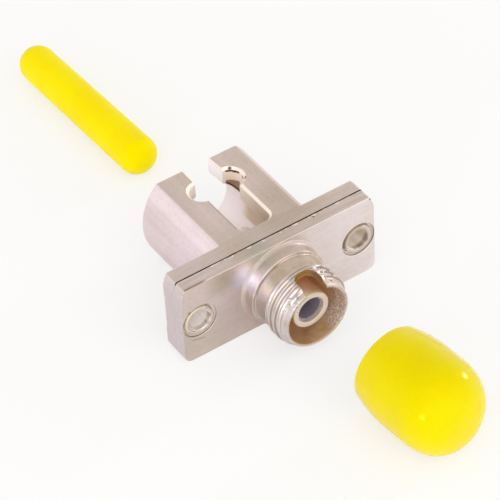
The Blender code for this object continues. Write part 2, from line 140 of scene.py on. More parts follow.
# Sleeve holders and split sleeves
COLLAR_DIAMETER = 7.2
COLLAR_THICKNESS = 0.7
LARGE_HOLDER_DIAMETER = 4.0
LARGE_HOLDER_RECESS = 1.0
LARGE_HOLDER_LIP = 0.4
LARGE_LIP_BORE = 2.8
LARGE_SLEEVE_OUTER = 3.2
SMALL_HOLDER_DIAMETER = 2.9
SMALL_HOLDER_REACH = 3.7
SMALL_HOLDER_LIP = 0.35
SMALL_LIP_BORE = 1.36
SMALL_SLEEVE_OUTER = 1.62

# Dust caps
CAP_DIAMETER = 9.26
CAP_LENGTH = 10.8
CAP_WALL = 0.45
CAP_MOUTH_DIAMETER = 8.1
CAP_TAPER_LENGTH = 4.0
CAP_DOME_LENGTH = 4.98
CAP_DOME_POWER = 2.54
CAP_TIP = (-0.2, -0.41)
CAP_MOUTH = (1.618, -18.147)
CAP_TURN = 4.53
PLUG_LENGTH = 21.92
PLUG_NEAR_DIAMETER = 4.13
PLUG_FAR_DIAMETER = 3.96
PLUG_NEAR_DOME = 1.85
PLUG_FAR_DOME = 2.1
PLUG_NEAR_END = (0.304, 20.496)
PLUG_TURN = 1.72

FIT_CLEARANCE = 0.04
SEAT_CLEARANCE = 0.02
OVERSHOOT = 1.0

# Places worked out from the sizes above
AXIS_Z = FLANGE_HEIGHT / 2
PARTING_Y = -REAR_PLATE
FACE_Y = PARTING_Y - FRONT_PLATE
BOSS_Y = FACE_Y - BOSS_LENGTH
THREAD_START_Y = BOSS_Y - NECK_LENGTH
THREAD_END_Y = THREAD_START_Y - THREAD_TURNS * THREAD_PITCH
PORT_END_Y = THREAD_END_Y - NOSE_LENGTH

# The thread's section over half a turn: share of the pitch from a crest, and height
THREAD_SHARES = (0.0, 0.06, 0.085, 0.12, 0.2, 0.3, 0.37, 0.42, 0.46, 0.5)
THREAD_HEIGHTS = (1.0, 1.0, 0.96, 0.86, 0.62, 0.32, 0.13, 0.04, 0.01, 0.0)

# Share of white that the camera sees in the floor, which lightens the shadow
SEEN_WHITE = 0.62

# Direction in the XZ plane, from a rivet's middle, in which its groove lies in shade
SHADED = (-0.69, 0.72)

# Facets of the finished surfaces, and the angle in degrees from which an edge is sharp
ROUND_STEPS = 160
FINE_STEPS = 96
SHARP_ANGLE = 32.0

# The floor: its rings' radii, and its height just below the pieces
FLOOR_RADII = (0.0, 60.0, 2500.0)
FLOOR_Z = -0.02

# The photograph's camera: place in metres, and its right and viewing directions
CAMERA_PLACE = (-0.11020, -0.17461, 0.20313)
CAMERA_RIGHT = (0.82431, -0.56443, -0.04398)
CAMERA_FORWARD = (0.38330, 0.61358, -0.69036)
CAMERA_LENS = 217.25
SENSOR_WIDTH = 36.0

# Soft lights that face LIT_PLACE: name, place and size in metres, power and colour
LIT_PLACE = (0.0, 0.0, 0.004)
LIGHTS = (
    ("back", (-0.26, 0.21, 0.10), 0.2, 0.03, (0.98, 0.99, 1.0)),
    ("front", (-0.09, -0.26, 0.20), 0.6, 0.56, (0.99, 0.99, 1.0)),
    ("port", (0.02, -0.3, 0.07), 0.4, 0.22, (1.0, 0.99, 0.98)),
    ("left lamp", (-0.269, -0.141, 0.079), 0.035, 0.1, (1.0, 1.0, 1.0)),
    ("right lamp", (0.294, -0.013, 0.086), 0.035, 0.1, (1.0, 1.0, 1.0)),
)


# ---------------------------------------------------------------- properties


def length_property(name, description, default, low, high):
    """A length that a user can change; the numbers are in millimetres."""
    return bpy.props.FloatProperty(
        name=name,
        description=description,
        default=default * MM,
        min=low * MM,
        max=high * MM,
        precision=5,
        unit="LENGTH",
    )


def colour_property(name, description, default):
    """A colour that a user can change."""
    return bpy.props.FloatVectorProperty(
        name=name, description=description, default=default, size=3, min=0.0, max=1.0,
        subtype="COLOR",
    )


class AdapterSizes(bpy.types.PropertyGroup):
    """Sizes of the details that the surfaces add to the solids."""

    thread_pitch: length_property(
        "Thread pitch",
        "Distance along the port between one crest of the thread and the next",
        THREAD_PITCH,
        0.3,
        1.5,
    )
    thread_depth: length_property(
        "Thread depth", "Height of the thread's crests above its roots", 0.32, 0.05, 0.45
    )
    edge_round: length_property(
        "Edge round", "Radius of the small rounds on turned edges", 0.08, 0.02, 0.12
    )
    barrel_edge: length_property(
        "Barrel edge", "Radius of the round at the open end of the barrel", 0.18, 0.05, 0.3
    )
    cap_lip: length_property(
        "Cap lip", "Radius of the round at the fat cap's open end", 0.2, 0.05, 0.22
    )


class AdapterFinish(bpy.types.PropertyGroup):
    """Colours and surface values of the finishes."""

    nickel: colour_property("Nickel", "Colour of the satin nickel plate", (0.765, 0.655, 0.625))
    nickel_warm: colour_property(
        "Warm nickel", "Colour of the plate where it has yellowed", (0.725, 0.62, 0.55)
    )
    # brass and brass_deep are painted shade: a warm brown, in random darker patches, that stands
    # for the dim light inside the threaded port.
    brass: colour_property(
        "Bore brass", "Colour of the bore, where the plate is thin", (0.66, 0.47, 0.28)
    )
    brass_deep: colour_property(
        "Deep brass", "Colour of the bore's darker patches", (0.55, 0.36, 0.19)
    )
    # wall and wall_deep are painted light and shade: wall is the lit colour painted on the latch
    # slot's edge break, and wall_deep is the shade painted lower down the window's walls.
    wall: colour_property(
        "Latch wall", "Colour of the latch slot's walls near the top", (1.0, 0.88, 0.78)
    )
    wall_deep: colour_property(
        "Deep latch wall", "Colour of the latch slot's walls lower down", (0.45, 0.26, 0.15)
    )
    nickel_roughness: bpy.props.FloatProperty(
        name="Nickel roughness",
        description="Mean roughness of the satin plate",
        default=0.34,
        min=0.05,
        max=1.0,
        subtype="FACTOR",
    )
    vinyl: colour_property("Fat cap yellow", "Colour of the fat cap's vinyl", (0.90, 0.70, 0.0))
    plug_vinyl: colour_property("Plug yellow", "Colour of the long plug's vinyl", (0.94, 0.80, 0.0))
    floor: colour_property("Floor", "Colour of the floor and backdrop", (0.95, 0.96, 0.98))


# ------------------------------------------------------------------ surfaces


def rounded(corners, steps=6, closed=True):
    """A polygon with rounded corners, as an array of points.

    Each corner is (a, b, radius). Its arc is tangent to both sides: the arc's ends
    lie radius / tan(half the inner angle) from the corner, and the points between
    them turn evenly about the arc's centre.
    """
    points = []
    share = np.linspace(0, 1, steps + 1)[:, None]
    for i, (a, b, radius) in enumerate(corners):
        corner = np.array((a, b), float)
        if radius <= 0 or (not closed and i in (0, len(corners) - 1)):
            points.append(corner[None])
            continue
        back = np.array(corners[i - 1][:2], float) - corner
        ahead = np.array(corners[(i + 1) % len(corners)][:2], float) - corner
        back /= np.linalg.norm(back)
        ahead /= np.linalg.norm(ahead)
        half = math.acos(float(np.clip(back @ ahead, -1, 1))) / 2
        middle = (back + ahead) / np.linalg.norm(back + ahead)
        centre = corner + middle * radius / math.sin(half)
        start = corner + back * radius / math.tan(half) - centre
        end = corner + ahead * radius / math.tan(half) - centre
        turn = math.pi - 2 * half
        arc = np.sin((1 - share) * turn) * start + np.sin(share * turn) * end
        points.append(centre + arc / math.sin(turn))
    return np.concatenate(points)


def circle_arc(centre, radius, start, end, steps):
    """Points at equal turns on a circle, from start to end degrees."""
    turn = np.radians(np.linspace(start, end, steps + 1))
    return np.stack([centre[0] + radius * np.cos(turn), centre[1] + radius * np.sin(turn)], -1)


def surface(name, grid, loop=False, capped=True, lead=None):
    """A mesh object from a grid of points in millimetres, at the origin.

    Rows run along the piece and columns round it. Each quad joins a row to the next
    row and a column to the next column. The end rows get a cap each, or, when loop
    is set, the last row joins the first. Points that coincide at a pole are merged.
    Where rows climb like a thread, lead is (first row, last row, rows in a turn): the
    last column of such a row joins the first column of the row one turn before it.
    The rows of the turn before the first such row have to lie in one place.
    """
    rows, columns = grid.shape[:2]
    index = np.arange(rows * columns).reshape(rows, columns)
    beside = np.roll(index, -1, axis=1)
    if lead:
        first, last, in_turn = lead
        climbing = np.arange(first, last + 1)
        beside[climbing, -1] = index[climbing - in_turn, 0]
    if loop:
        ahead, ahead_beside = np.roll(index, -1, axis=0), np.roll(beside, -1, axis=0)
    else:
        index, ahead = index[:-1], index[1:]
        beside, ahead_beside = beside[:-1], beside[1:]
    faces = np.stack([index, beside, ahead_beside, ahead], -1).reshape(-1, 4).tolist()
    if capped and not loop:
        faces += [index[0].tolist(), ahead[-1].tolist()]
    mesh = bpy.data.meshes.new(name)
    mesh.from_pydata((grid.reshape(-1, 3) * MM).tolist(), [], faces)
    form = bmesh.new()
    form.from_mesh(mesh)
    bmesh.ops.remove_doubles(form, verts=form.verts, dist=1e-8)
    if capped:
        bmesh.ops.recalc_face_normals(form, faces=form.faces)
    form.to_mesh(mesh)
    form.free()
    obj = bpy.data.objects.new(name, mesh)
    bpy.context.scene.collection.objects.link(obj)
    return obj


def levels_along(outlines, places, axis):
    """A grid from plane outlines set at places along an axis: "y" or "z"."""
    outlines = np.stack(outlines)
    places = np.broadcast_to(np.asarray(places, float)[:, None], outlines.shape[:2])
    order = [outlines[..., 0], places, outlines[..., 1]]
    if axis == "z":
        order = [outlines[..., 0], outlines[..., 1], places]
    return np.stack(order, -1)


def turned(name, profile, steps=ROUND_STEPS, centre=(0.0, AXIS_Z), loop=True):
    """A profile of (radius, y) carried round a line along Y: x = r sin a, z = r cos a."""
    turn = np.linspace(0, math.tau, steps, endpoint=False)
    radius, y = np.asarray(profile, float).T[:, :, None]
    x = radius * np.sin(turn) + centre[0]
    z = radius * np.cos(turn) + centre[1]
    return surface(name, np.stack([x, np.broadcast_to(y, x.shape), z], -1), loop)


def laid(x, y, z, degrees, place):
    """A grid of points, turned about Z and then moved in the XY plane."""
    turn = math.radians(degrees)
    across = x * math.cos(turn) - y * math.sin(turn) + place[0]
    along = x * math.sin(turn) + y * math.cos(turn) + place[1]
    return np.stack([across, along, z], -1)


def carve(body, tools, operation="DIFFERENCE"):
    """Cuts or joins closed meshes, then keeps the result as the body's own mesh."""
    for tool in tools:
        step = body.modifiers.new(tool.name, "BOOLEAN")
        step.operation = operation
        step.solver = "EXACT"
        step.object = tool
    graph = bpy.context.evaluated_depsgraph_get()
    mesh = bpy.data.meshes.new_from_object(body.evaluated_get(graph))
    if len(mesh.polygons) == 0:
        raise RuntimeError(f"nothing is left of {body.name}")
    body.modifiers.clear()
    body.data = mesh
    for tool in tools:
        bpy.data.objects.remove(tool, do_unlink=True)


def finished(piece, material, node):
    """Smooths the round sides, keeps flat faces flat, and puts the piece in its node's place."""
    mesh = piece.data
    mesh.name = piece.name
    mesh.shade_smooth()
    mesh.set_sharp_from_angle(angle=math.radians(SHARP_ANGLE))
    even = piece.modifiers.new("flat faces stay flat", "WEIGHTED_NORMAL")
    even.keep_sharp = True
    even.weight = 100
    mesh.materials.clear()
    mesh.materials.append(material)
    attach(piece, "root")
    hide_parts(node)


# ----------------------------------------------------------------- materials

WHITE = (1.0, 1.0, 1.0)
BLACK = (0.0, 0.0, 0.0)


def feed(tree, node, inputs):
    """Links or sets a node's inputs. A colour of three numbers is made opaque."""
    for key, value in inputs.items():
        socket = node.inputs[key]
        if isinstance(value, bpy.types.NodeSocket):
            tree.links.new(value, socket)
        elif socket.type == "RGBA":
            socket.default_value = (*value, 1.0)
        else:
            socket.default_value = value
    return node


def add_node(tree, kind, inputs=None, **settings):
    """Adds a node, sets its options, and fills or links its inputs."""
    made = tree.nodes.new(kind)
    for key, value in settings.items():
        setattr(made, key, value)
    return feed(tree, made, inputs or {})


def maths(tree, operation, *values):
    """The output of a Math node over numbers or sockets."""
    node = add_node(tree, "ShaderNodeMath", dict(enumerate(values)), operation=operation)
    return node.outputs[0]


def less(tree, value, amount):
    """value - amount."""
    return maths(tree, "SUBTRACT", value, amount)


def scaled(tree, value, factor, offset):
    """value x factor + offset."""
    return maths(tree, "MULTIPLY_ADD", value, factor, offset)


def largest(tree, first, second):
    """The larger of two values."""
    return maths(tree, "MAXIMUM", first, second)


def size_of(tree, value):
    """A value without its sign."""
    return maths(tree, "ABSOLUTE", value)


def length(tree, *offsets):
    """The length of a vector with the given parts."""
    squares = 0.0
    for off in offsets:
        squares = scaled(tree, off, off, squares)
    return maths(tree, "SQRT", squares)


def ramped(tree, value, low, high):
    """A smooth step of a socket from 0 at low to 1 at high."""
    inputs = {"Value": value, "From Min": low, "From Max": high}
    node = add_node(tree, "ShaderNodeMapRange", inputs, interpolation_type="SMOOTHSTEP")
    return node.outputs["Result"]


def product(tree, *factors):
    """The product of values, where a factor (value, low, high) is a smooth step."""
    steps = [ramped(tree, *factor) if isinstance(factor, tuple) else factor for factor in factors]
    result = steps[0]
    for step in steps[1:]:
        result = maths(tree, "MULTIPLY", result, step)
    return result


def noise_at(tree, vector, scale, detail, stretch=None):
    """Noise, drawn out along an axis whose stretch is below 1. The scale is its steps in a unit."""
    if stretch:
        mapping = add_node(tree, "ShaderNodeMapping", {"Vector": vector, "Scale": stretch})
        vector = mapping.outputs[0]
    inputs = {"Vector": vector, "Scale": scale, "Detail": detail}
    return add_node(tree, "ShaderNodeTexNoise", inputs).outputs["Fac"]


def mixed(tree, factor, first, second, mode="MIX"):
    """The output of a Mix node over two colours."""
    node = add_node(tree, "ShaderNodeMix", data_type="RGBA", blend_type=mode)
    colours = [i for i, socket in enumerate(node.inputs) if socket.type == "RGBA"]
    feed(tree, node, dict(zip((0, *colours), (factor, first, second))))
    return [socket for socket in node.outputs if socket.type == "RGBA"][0]


def layered(tree, colour, *layers):
    """A colour with others laid over it: each layer is (mask, colour)."""
    for mask, over in layers:
        colour = mixed(tree, mask, colour, over)
    return colour


def tinted(tree, colour, tint):
    """A colour times another."""
    return mixed(tree, 1.0, colour, tint, "MULTIPLY")


def grey(tree, shade):
    """A grey of a given shade."""
    return add_node(tree, "ShaderNodeCombineColor", {0: shade, 1: shade, 2: shade}).outputs[0]


def place_mm(tree, vector):
    """X, Y and Z of a place, in millimetres."""
    inputs = {0: vector, "Scale": 1 / MM}
    large = add_node(tree, "ShaderNodeVectorMath", inputs, operation="SCALE").outputs[0]
    return add_node(tree, "ShaderNodeSeparateXYZ", {0: large}).outputs[:]


def axis_radius(tree, x, z):
    """Distance of a point from the ports' axis."""
    return length(tree, x, less(tree, z, AXIS_Z))


def hole_place(tree, x, z):
    """Distance of a point from the nearer rivet's middle line, and 1 to its upper left.

    The second falls to -1 at the lower right: it is the share of the offset that lies
    along SHADED.
    """
    across = product(tree, less(tree, size_of(tree, x), HOLE_X), maths(tree, "SIGN", x))
    height = less(tree, z, AXIS_Z)
    radius = length(tree, across, height)
    along = scaled(tree, across, SHADED[0], product(tree, height, SHADED[1]))
    return radius, maths(tree, "DIVIDE", along, radius)


def ball(tree, place, centre, outer, inner, noise):
    """1 within a distance of a place, falling to 0 at another, with an uneven boundary."""
    away = length(tree, *(less(tree, at, middle) for at, middle in zip(place, centre)))
    away = scaled(tree, noise, 0.5 * outer, away)
    return ramped(tree, away, 1.25 * outer, inner + 0.25 * outer)


def filled_group(name, defaults, fill):
    """A new shader group with a vector, the named inputs, and outputs that fill returns."""
    group = bpy.data.node_groups.new(name, "ShaderNodeTree")
    group.interface.new_socket(name="Vector", in_out="INPUT", socket_type="NodeSocketVector")
    for label, default in defaults.items():
        kind = "NodeSocketColor" if default is None else "NodeSocketFloat"
        socket = group.interface.new_socket(name=label, in_out="INPUT", socket_type=kind)
        if default is not None:
            socket.default_value = default
    given = group.nodes.new("NodeGroupInput").outputs
    results = fill(group, given["Vector"], *(given[label] for label in defaults))
    for label, socket in results.items():
        kind = "NodeSocketColor" if socket.type == "RGBA" else "NodeSocketFloat"
        group.interface.new_socket(name=label, in_out="OUTPUT", socket_type=kind)
    feed(group, group.nodes.new("NodeGroupOutput"), results)
    return group


def effect(name, **defaults):
    """Makes a function that fills a shader group into one that places it in a material.

    The group is made once. It takes a vector and the inputs that the defaults name, in
    their order, where None stands for a colour.
    """

    def wrap(fill):
        def place(tree, vector, **values):
            group = bpy.data.node_groups.get(name) or filled_group(name, defaults, fill)
            inputs = {"Vector": vector, **values}
            return add_node(tree, "ShaderNodeGroup", inputs, node_tree=group).outputs

        return place

    return wrap


@effect("Satin grain", Grain=9000.0, Roughness=0.34, Spread=0.2)
def satin_grain(tree, vector, grain, roughness, spread):
    """Fine noise for height, and slower noise that spreads the roughness about its mean."""
    slow = less(tree, noise_at(tree, vector, 420.0, 4.0), 0.5)
    return {
        "Roughness": scaled(tree, slow, spread, roughness),
        "Height": noise_at(tree, vector, grain, 3.0),
    }


@effect("Yellowed patches", Clean=None, Yellowed=None, Patch=160.0, Threshold=0.5, Mottle=0.06)
def yellowed_patches(tree, vector, clean, yellowed, patch, threshold, mottle):
    """Slow noise mixes a clean plate colour with a yellowed one; fine noise dims it a little."""
    slow = noise_at(tree, vector, patch, 5.0)
    low = less(tree, threshold, 0.18)
    high = maths(tree, "ADD", threshold, 0.18)
    plate = mixed(tree, ramped(tree, slow, low, high), clean, yellowed)
    dim = ramped(tree, noise_at(tree, vector, 2600.0, 2.0), 0.25, 0.6)
    shade = less(tree, scaled(tree, dim, mottle, 1.0), mottle)
    return {"Color": tinted(tree, plate, grey(tree, shade))}


@effect("Turning marks")
def turning_marks(tree, vector):
    """Fine rings round the port's axis: noise that is stretched all the way round."""
    x, y, z = place_mm(tree, vector)
    radius = axis_radius(tree, x, z)
    angle = maths(tree, "ARCTAN2", x, less(tree, z, AXIS_Z))
    parts = {0: maths(tree, "ADD", y, radius), 1: product(tree, angle, 0.04), 2: radius}
    place = add_node(tree, "ShaderNodeCombineXYZ", parts).outputs[0]
    return {"Height": noise_at(tree, place, 9000.0 * MM, 4.0)}


@effect("Bare bore")
def bare_bore(tree, vector):
    """Masks of the threaded port's inside: all of it, its side, and the keyway's walls.

    The keyway's plan is a rounded rectangle. A point's distance outside it is
    length(max(|x| - a, 0), max(y - b, 0)) - r, where a and b are the corner's centre.
    """
    x, y, z = place_mm(tree, vector)
    away = less(tree, axis_radius(tree, x, z), THREADED_BORE / 2)
    over_x = less(tree, size_of(tree, x), KEYWAY_WIDTH / 2 - KEYWAY_CORNER)
    over_y = less(tree, y, PORT_END_Y + KEYWAY_DEPTH - KEYWAY_CORNER)
    over = length(tree, largest(tree, over_x, 0.0), largest(tree, over_y, 0.0))
    over = less(tree, over, KEYWAY_CORNER)
    slot = product(tree, (over, 0.035, 0.01), (z, AXIS_Z + 1.6, AXIS_Z + 1.8))
    inside = largest(tree, ramped(tree, away, 0.09, 0.02), slot)
    return {
        "Inside": product(tree, inside, (y, FACE_Y + 0.2, FACE_Y)),
        "Side": ramped(tree, x, 1.3, 2.4),
        "Deep": ramped(tree, y, FACE_Y - 4.6, FACE_Y - 3.2),
        "Wall": ramped(tree, away, 0.02, 0.09),
    }


def bore_colour_and_painted_light(tree, vector, light, deep):
    """Mask and colour of the threaded port's inside, painted with shade and warm light, and the
    painted glow that lights its depth and the rivet grooves.
    """
    zones = bare_bore(tree, vector)
    x, y, z = place_mm(tree, vector)
    tone = noise_at(tree, vector, 900.0, 4.0)
    speck = noise_at(tree, vector, 7000.0, 2.0, (1.0, 0.6, 1.0))
    side = mixed(tree, ramped(tree, speck, 0.36, 0.64), (0.52, 0.40, 0.31), (0.86, 0.74, 0.66))
    upper = ramped(tree, z, AXIS_Z + 0.5, AXIS_Z + 2.0)
    recess = FRONT_RECESS_DIAMETER / 2
    away, shaded = hole_place(tree, x, z)
    groove = product(tree, (away, recess + 0.04, recess + 0.01), (y, PARTING_Y, FACE_Y + 0.6))
    mouth = ramped(tree, y, FACE_Y + 0.16, FACE_Y + 0.1)
    # Painted light and shade: a brown base of random tone that stands for the bore's shade, the
    # right wall painted lighter where it faces the light with random specks, warm painted light
    # deep in the bore and brighter above, painted dark shade on the keyway's walls, and the groove
    # round the rivet heads painted cream as lit with a painted shadow line at its mouth.
    colour = layered(
        tree,
        mixed(tree, ramped(tree, tone, 0.35, 0.65), light, deep),
        (zones["Side"], side),
        (zones["Deep"], mixed(tree, upper, (0.78, 0.53, 0.34), (0.90, 0.46, 0.07))),
        (zones["Wall"], (0.30, 0.16, 0.05)),
        (groove, mixed(tree, mouth, (0.86, 0.80, 0.76), (0.16, 0.12, 0.10))),
    )
    # A painted glow, an emission where no lamp is: in the bore's depth, and on the lower right of
    # the rivet grooves, which are painted lit.
    held = product(tree, zones["Deep"], zones["Inside"], less(tree, 1.0, zones["Wall"]))
    lit = product(tree, groove, (shaded, 0.2, -0.4), less(tree, 1.0, mouth))
    glow = mixed(tree, upper, (0.045, 0.026, 0.012), (0.09, 0.034, 0.004))
    glow = layered(tree, BLACK, (held, glow), (lit, (0.07, 0.062, 0.056)))
    return largest(tree, zones["Inside"], groove), colour, glow


@effect("Latch walls")
def latch_walls(tree, vector):
    """Masks of the latched port's inside, and depths below the flat top.

    Walls is 1 on the slot's and window's walls and Bore in the bore; Edge, Line and
    Low are 1 on the edge break, on thin lines under it and at the bore, and lower down;
    Window is 1 beyond the wide slot's sides, and Pale on its left wall and on the wall
    towards the flange; Shade is 1 on the bore's far side, and Left on the wide slot's
    left. Ahead rises towards the flange, and Latch is 1 in the narrow slot.
    """
    x, y, z = place_mm(tree, vector)
    beside = size_of(tree, x)
    depth = less(tree, FLANGE_HEIGHT, z)
    away = less(tree, axis_radius(tree, x, z), LATCHED_BORE / 2)
    rear = ramped(tree, y, 0.0, 0.05)
    left = ramped(tree, x, 0.5, -0.5)
    upper = (z, AXIS_Z, AXIS_Z + 0.5)
    uneven = scaled(tree, noise_at(tree, vector, 900.0, 3.0), 0.4, depth)
    line = ramped(tree, size_of(tree, less(tree, uneven, 0.56)), 0.17, 0.11)
    shade = product(tree, x, (z, 2.6, 4.0))
    return {
        "Walls": product(tree, (beside, 3.25, 3.15), upper, (depth, 0.02, 0.05), rear),
        "Bore": product(tree, (away, 0.09, 0.02), rear),
        "Edge": ramped(tree, depth, 0.3, 0.24),
        "Line": largest(tree, line, ramped(tree, away, 0.3, 0.18)),
        "Low": ramped(tree, uneven, 1.65, 1.8),
        "Window": ramped(tree, beside, 1.8, 1.95),
        "Pale": largest(tree, left, ramped(tree, y, 7.5, 7.38)),
        "Shade": product(tree, (shade, 1.2, 2.2), (y, 8.0, 6.5)),
        "Left": product(tree, left, (y, 6.0, 5.8)),
        "Ahead": ramped(tree, y, 6.5, 1.5),
        "Latch": ramped(tree, y, 8.2, 8.4),
    }


def latch_colour_and_painted_light(tree, vector, light, deep):
    """Mask and colour of the latched port's walls and bore, painted with light and shade."""
    zones = latch_walls(tree, vector)
    place = place_mm(tree, vector)
    tone = noise_at(tree, vector, 520.0, 4.0)
    # The window's walls: cream as lit, painted shade lower down, painted shadow lines under the
    # edge break and at the bore, and the left wall and the wall towards the flange painted pale as
    # lit.
    window = layered(
        tree,
        mixed(tree, ramped(tree, tone, 0.4, 0.6), (1.0, 0.86, 0.62), (1.0, 0.88, 0.82)),
        (zones["Low"], deep),
        (zones["Line"], (0.08, 0.035, 0.03)),
        (zones["Pale"], (1.0, 0.95, 0.88)),
    )
    # The slot's walls are painted darker towards the flange as shade, in random tone, and the
    # narrow slot is pale as lit. The edge break is painted lit, with painted shade on the wide
    # slot's left. The bore is pale as lit, with painted shade on its far side. Last come three
    # small dark marks.
    colour = layered(
        tree,
        mixed(tree, zones["Ahead"], (0.95, 0.87, 0.82), (0.62, 0.54, 0.40)),
        (product(tree, tone, 0.5), (0.66, 0.58, 0.48)),
        (zones["Latch"], (1.0, 0.96, 0.98)),
        (zones["Window"], window),
        (zones["Edge"], mixed(tree, zones["Left"], light, (0.42, 0.35, 0.29))),
        (zones["Bore"], mixed(tree, zones["Shade"], (1.0, 0.93, 0.94), (0.72, 0.60, 0.46))),
        (ball(tree, place, (2.35, 8.34, 9.15), 0.26, 0.08, tone), (0.16, 0.10, 0.08)),
        (ball(tree, place, (2.78, 6.3, 9.2), 0.2, 0.08, tone), (0.05, 0.04, 0.03)),
        (ball(tree, place, (2.83, 6.85, 8.75), 0.3, 0.08, tone), (0.25, 0.18, 0.13)),
    )
    return largest(tree, zones["Walls"], zones["Bore"]), colour, None


def eyelet_colour_and_painted_light(tree, vector):
    """Mask and colour of the hollow rivets' bores, painted pale as lit, and of their heads' flanks
    in painted shade.
    """
    x, y, z = place_mm(tree, vector)
    bore = EYELET_BORE / 2
    head = EYELET_HEAD_DIAMETER / 2
    radius, shaded = hole_place(tree, x, z)
    front = (y, PARTING_Y, FACE_Y + 0.6)
    flank = product(tree, (radius, head - 0.3, head - 0.22), (shaded, 0.1, 0.6), front)
    tone = ramped(tree, noise_at(tree, vector, 1500.0, 3.0, (1.0, 0.12, 1.0)), 0.35, 0.65)
    side = ramped(tree, x, -5.0, 5.0)
    # A painted dark crescent of shade inside the bore's lip, on the lower right.
    lip = product(
        tree,
        (radius, bore + 0.22, bore + 0.12),
        (shaded, -0.15, -0.55),
        (y, FACE_Y + 0.7, FACE_Y + 0.4),
        scaled(tree, tone, 0.5, 0.5),
    )
    # The bores are painted pale as lit, in random tone, with painted shade deeper in and on the
    # heads' upper-left flanks.
    left = mixed(tree, tone, (1.0, 0.98, 0.96), (0.76, 0.69, 0.64))
    right = mixed(tree, tone, (1.0, 0.98, 0.92), (0.80, 0.70, 0.61))
    colour = layered(
        tree,
        mixed(tree, side, left, right),
        (ramped(tree, y, FACE_Y + 0.8, FACE_Y + 3.2), (0.68, 0.60, 0.52)),
        (lip, (0.34, 0.27, 0.22)),
        (flank, mixed(tree, side, (0.66, 0.58, 0.46), (0.42, 0.34, 0.24))),
    )
    mask = largest(tree, ramped(tree, radius, bore + 0.1, bore + 0.03), lip)
    return largest(tree, mask, flank), colour, None


def holder_rim(tree, vector):
    """Mask and colour of the large holder's edge, worn to the brass, and of the small holder,
    painted pale as lit.
    """
    x, y, z = place_mm(tree, vector)
    noise = noise_at(tree, vector, 1400.0, 3.0)
    radius = scaled(tree, less(tree, noise, 0.5), 0.2, axis_radius(tree, x, z))
    outer = LARGE_HOLDER_DIAMETER / 2
    lip = LARGE_LIP_BORE / 2
    tip = PORT_END_Y + LARGE_HOLDER_RECESS
    worn = ramped(tree, radius, outer - 0.16, outer - 0.06)
    worn = largest(tree, worn, ramped(tree, radius, lip + 0.1, lip + 0.03))
    worn = product(tree, worn, (y, tip + 0.3, tip + 0.15))
    brass = mixed(tree, noise, (0.88, 0.71, 0.46), (0.64, 0.51, 0.31))
    # The small holder, behind the parting plane, is painted pale as lit.
    far = ramped(tree, y, 0.0, 0.5)
    return largest(tree, worn, far), mixed(tree, far, brass, (1.0, 0.97, 0.98)), None


@effect("Burrs and glints")
def burrs_and_glints(tree, vector):
    """Specks on the thread beside the keyway, where the cutter tore it: Height bumps the torn
    metal, Light gives painted glints and Dark gives dark specks.
    """
    place = place_mm(tree, vector)
    noise = noise_at(tree, vector, 2100.0, 3.0)
    top = AXIS_Z + THREAD_DIAMETER / 2
    right = ball(tree, place, (1.9, -7.9, top - 0.4), 1.9, 0.6, noise)
    left = ball(tree, place, (-2.5, -9.1, top - 0.9), 1.2, 0.3, noise)
    where = largest(tree, right, left)
    return {
        "Light": product(tree, where, (noise, 0.54, 0.62)),
        "Dark": product(tree, where, (noise, 0.42, 0.36)),
        "Height": product(tree, where, noise),
    }


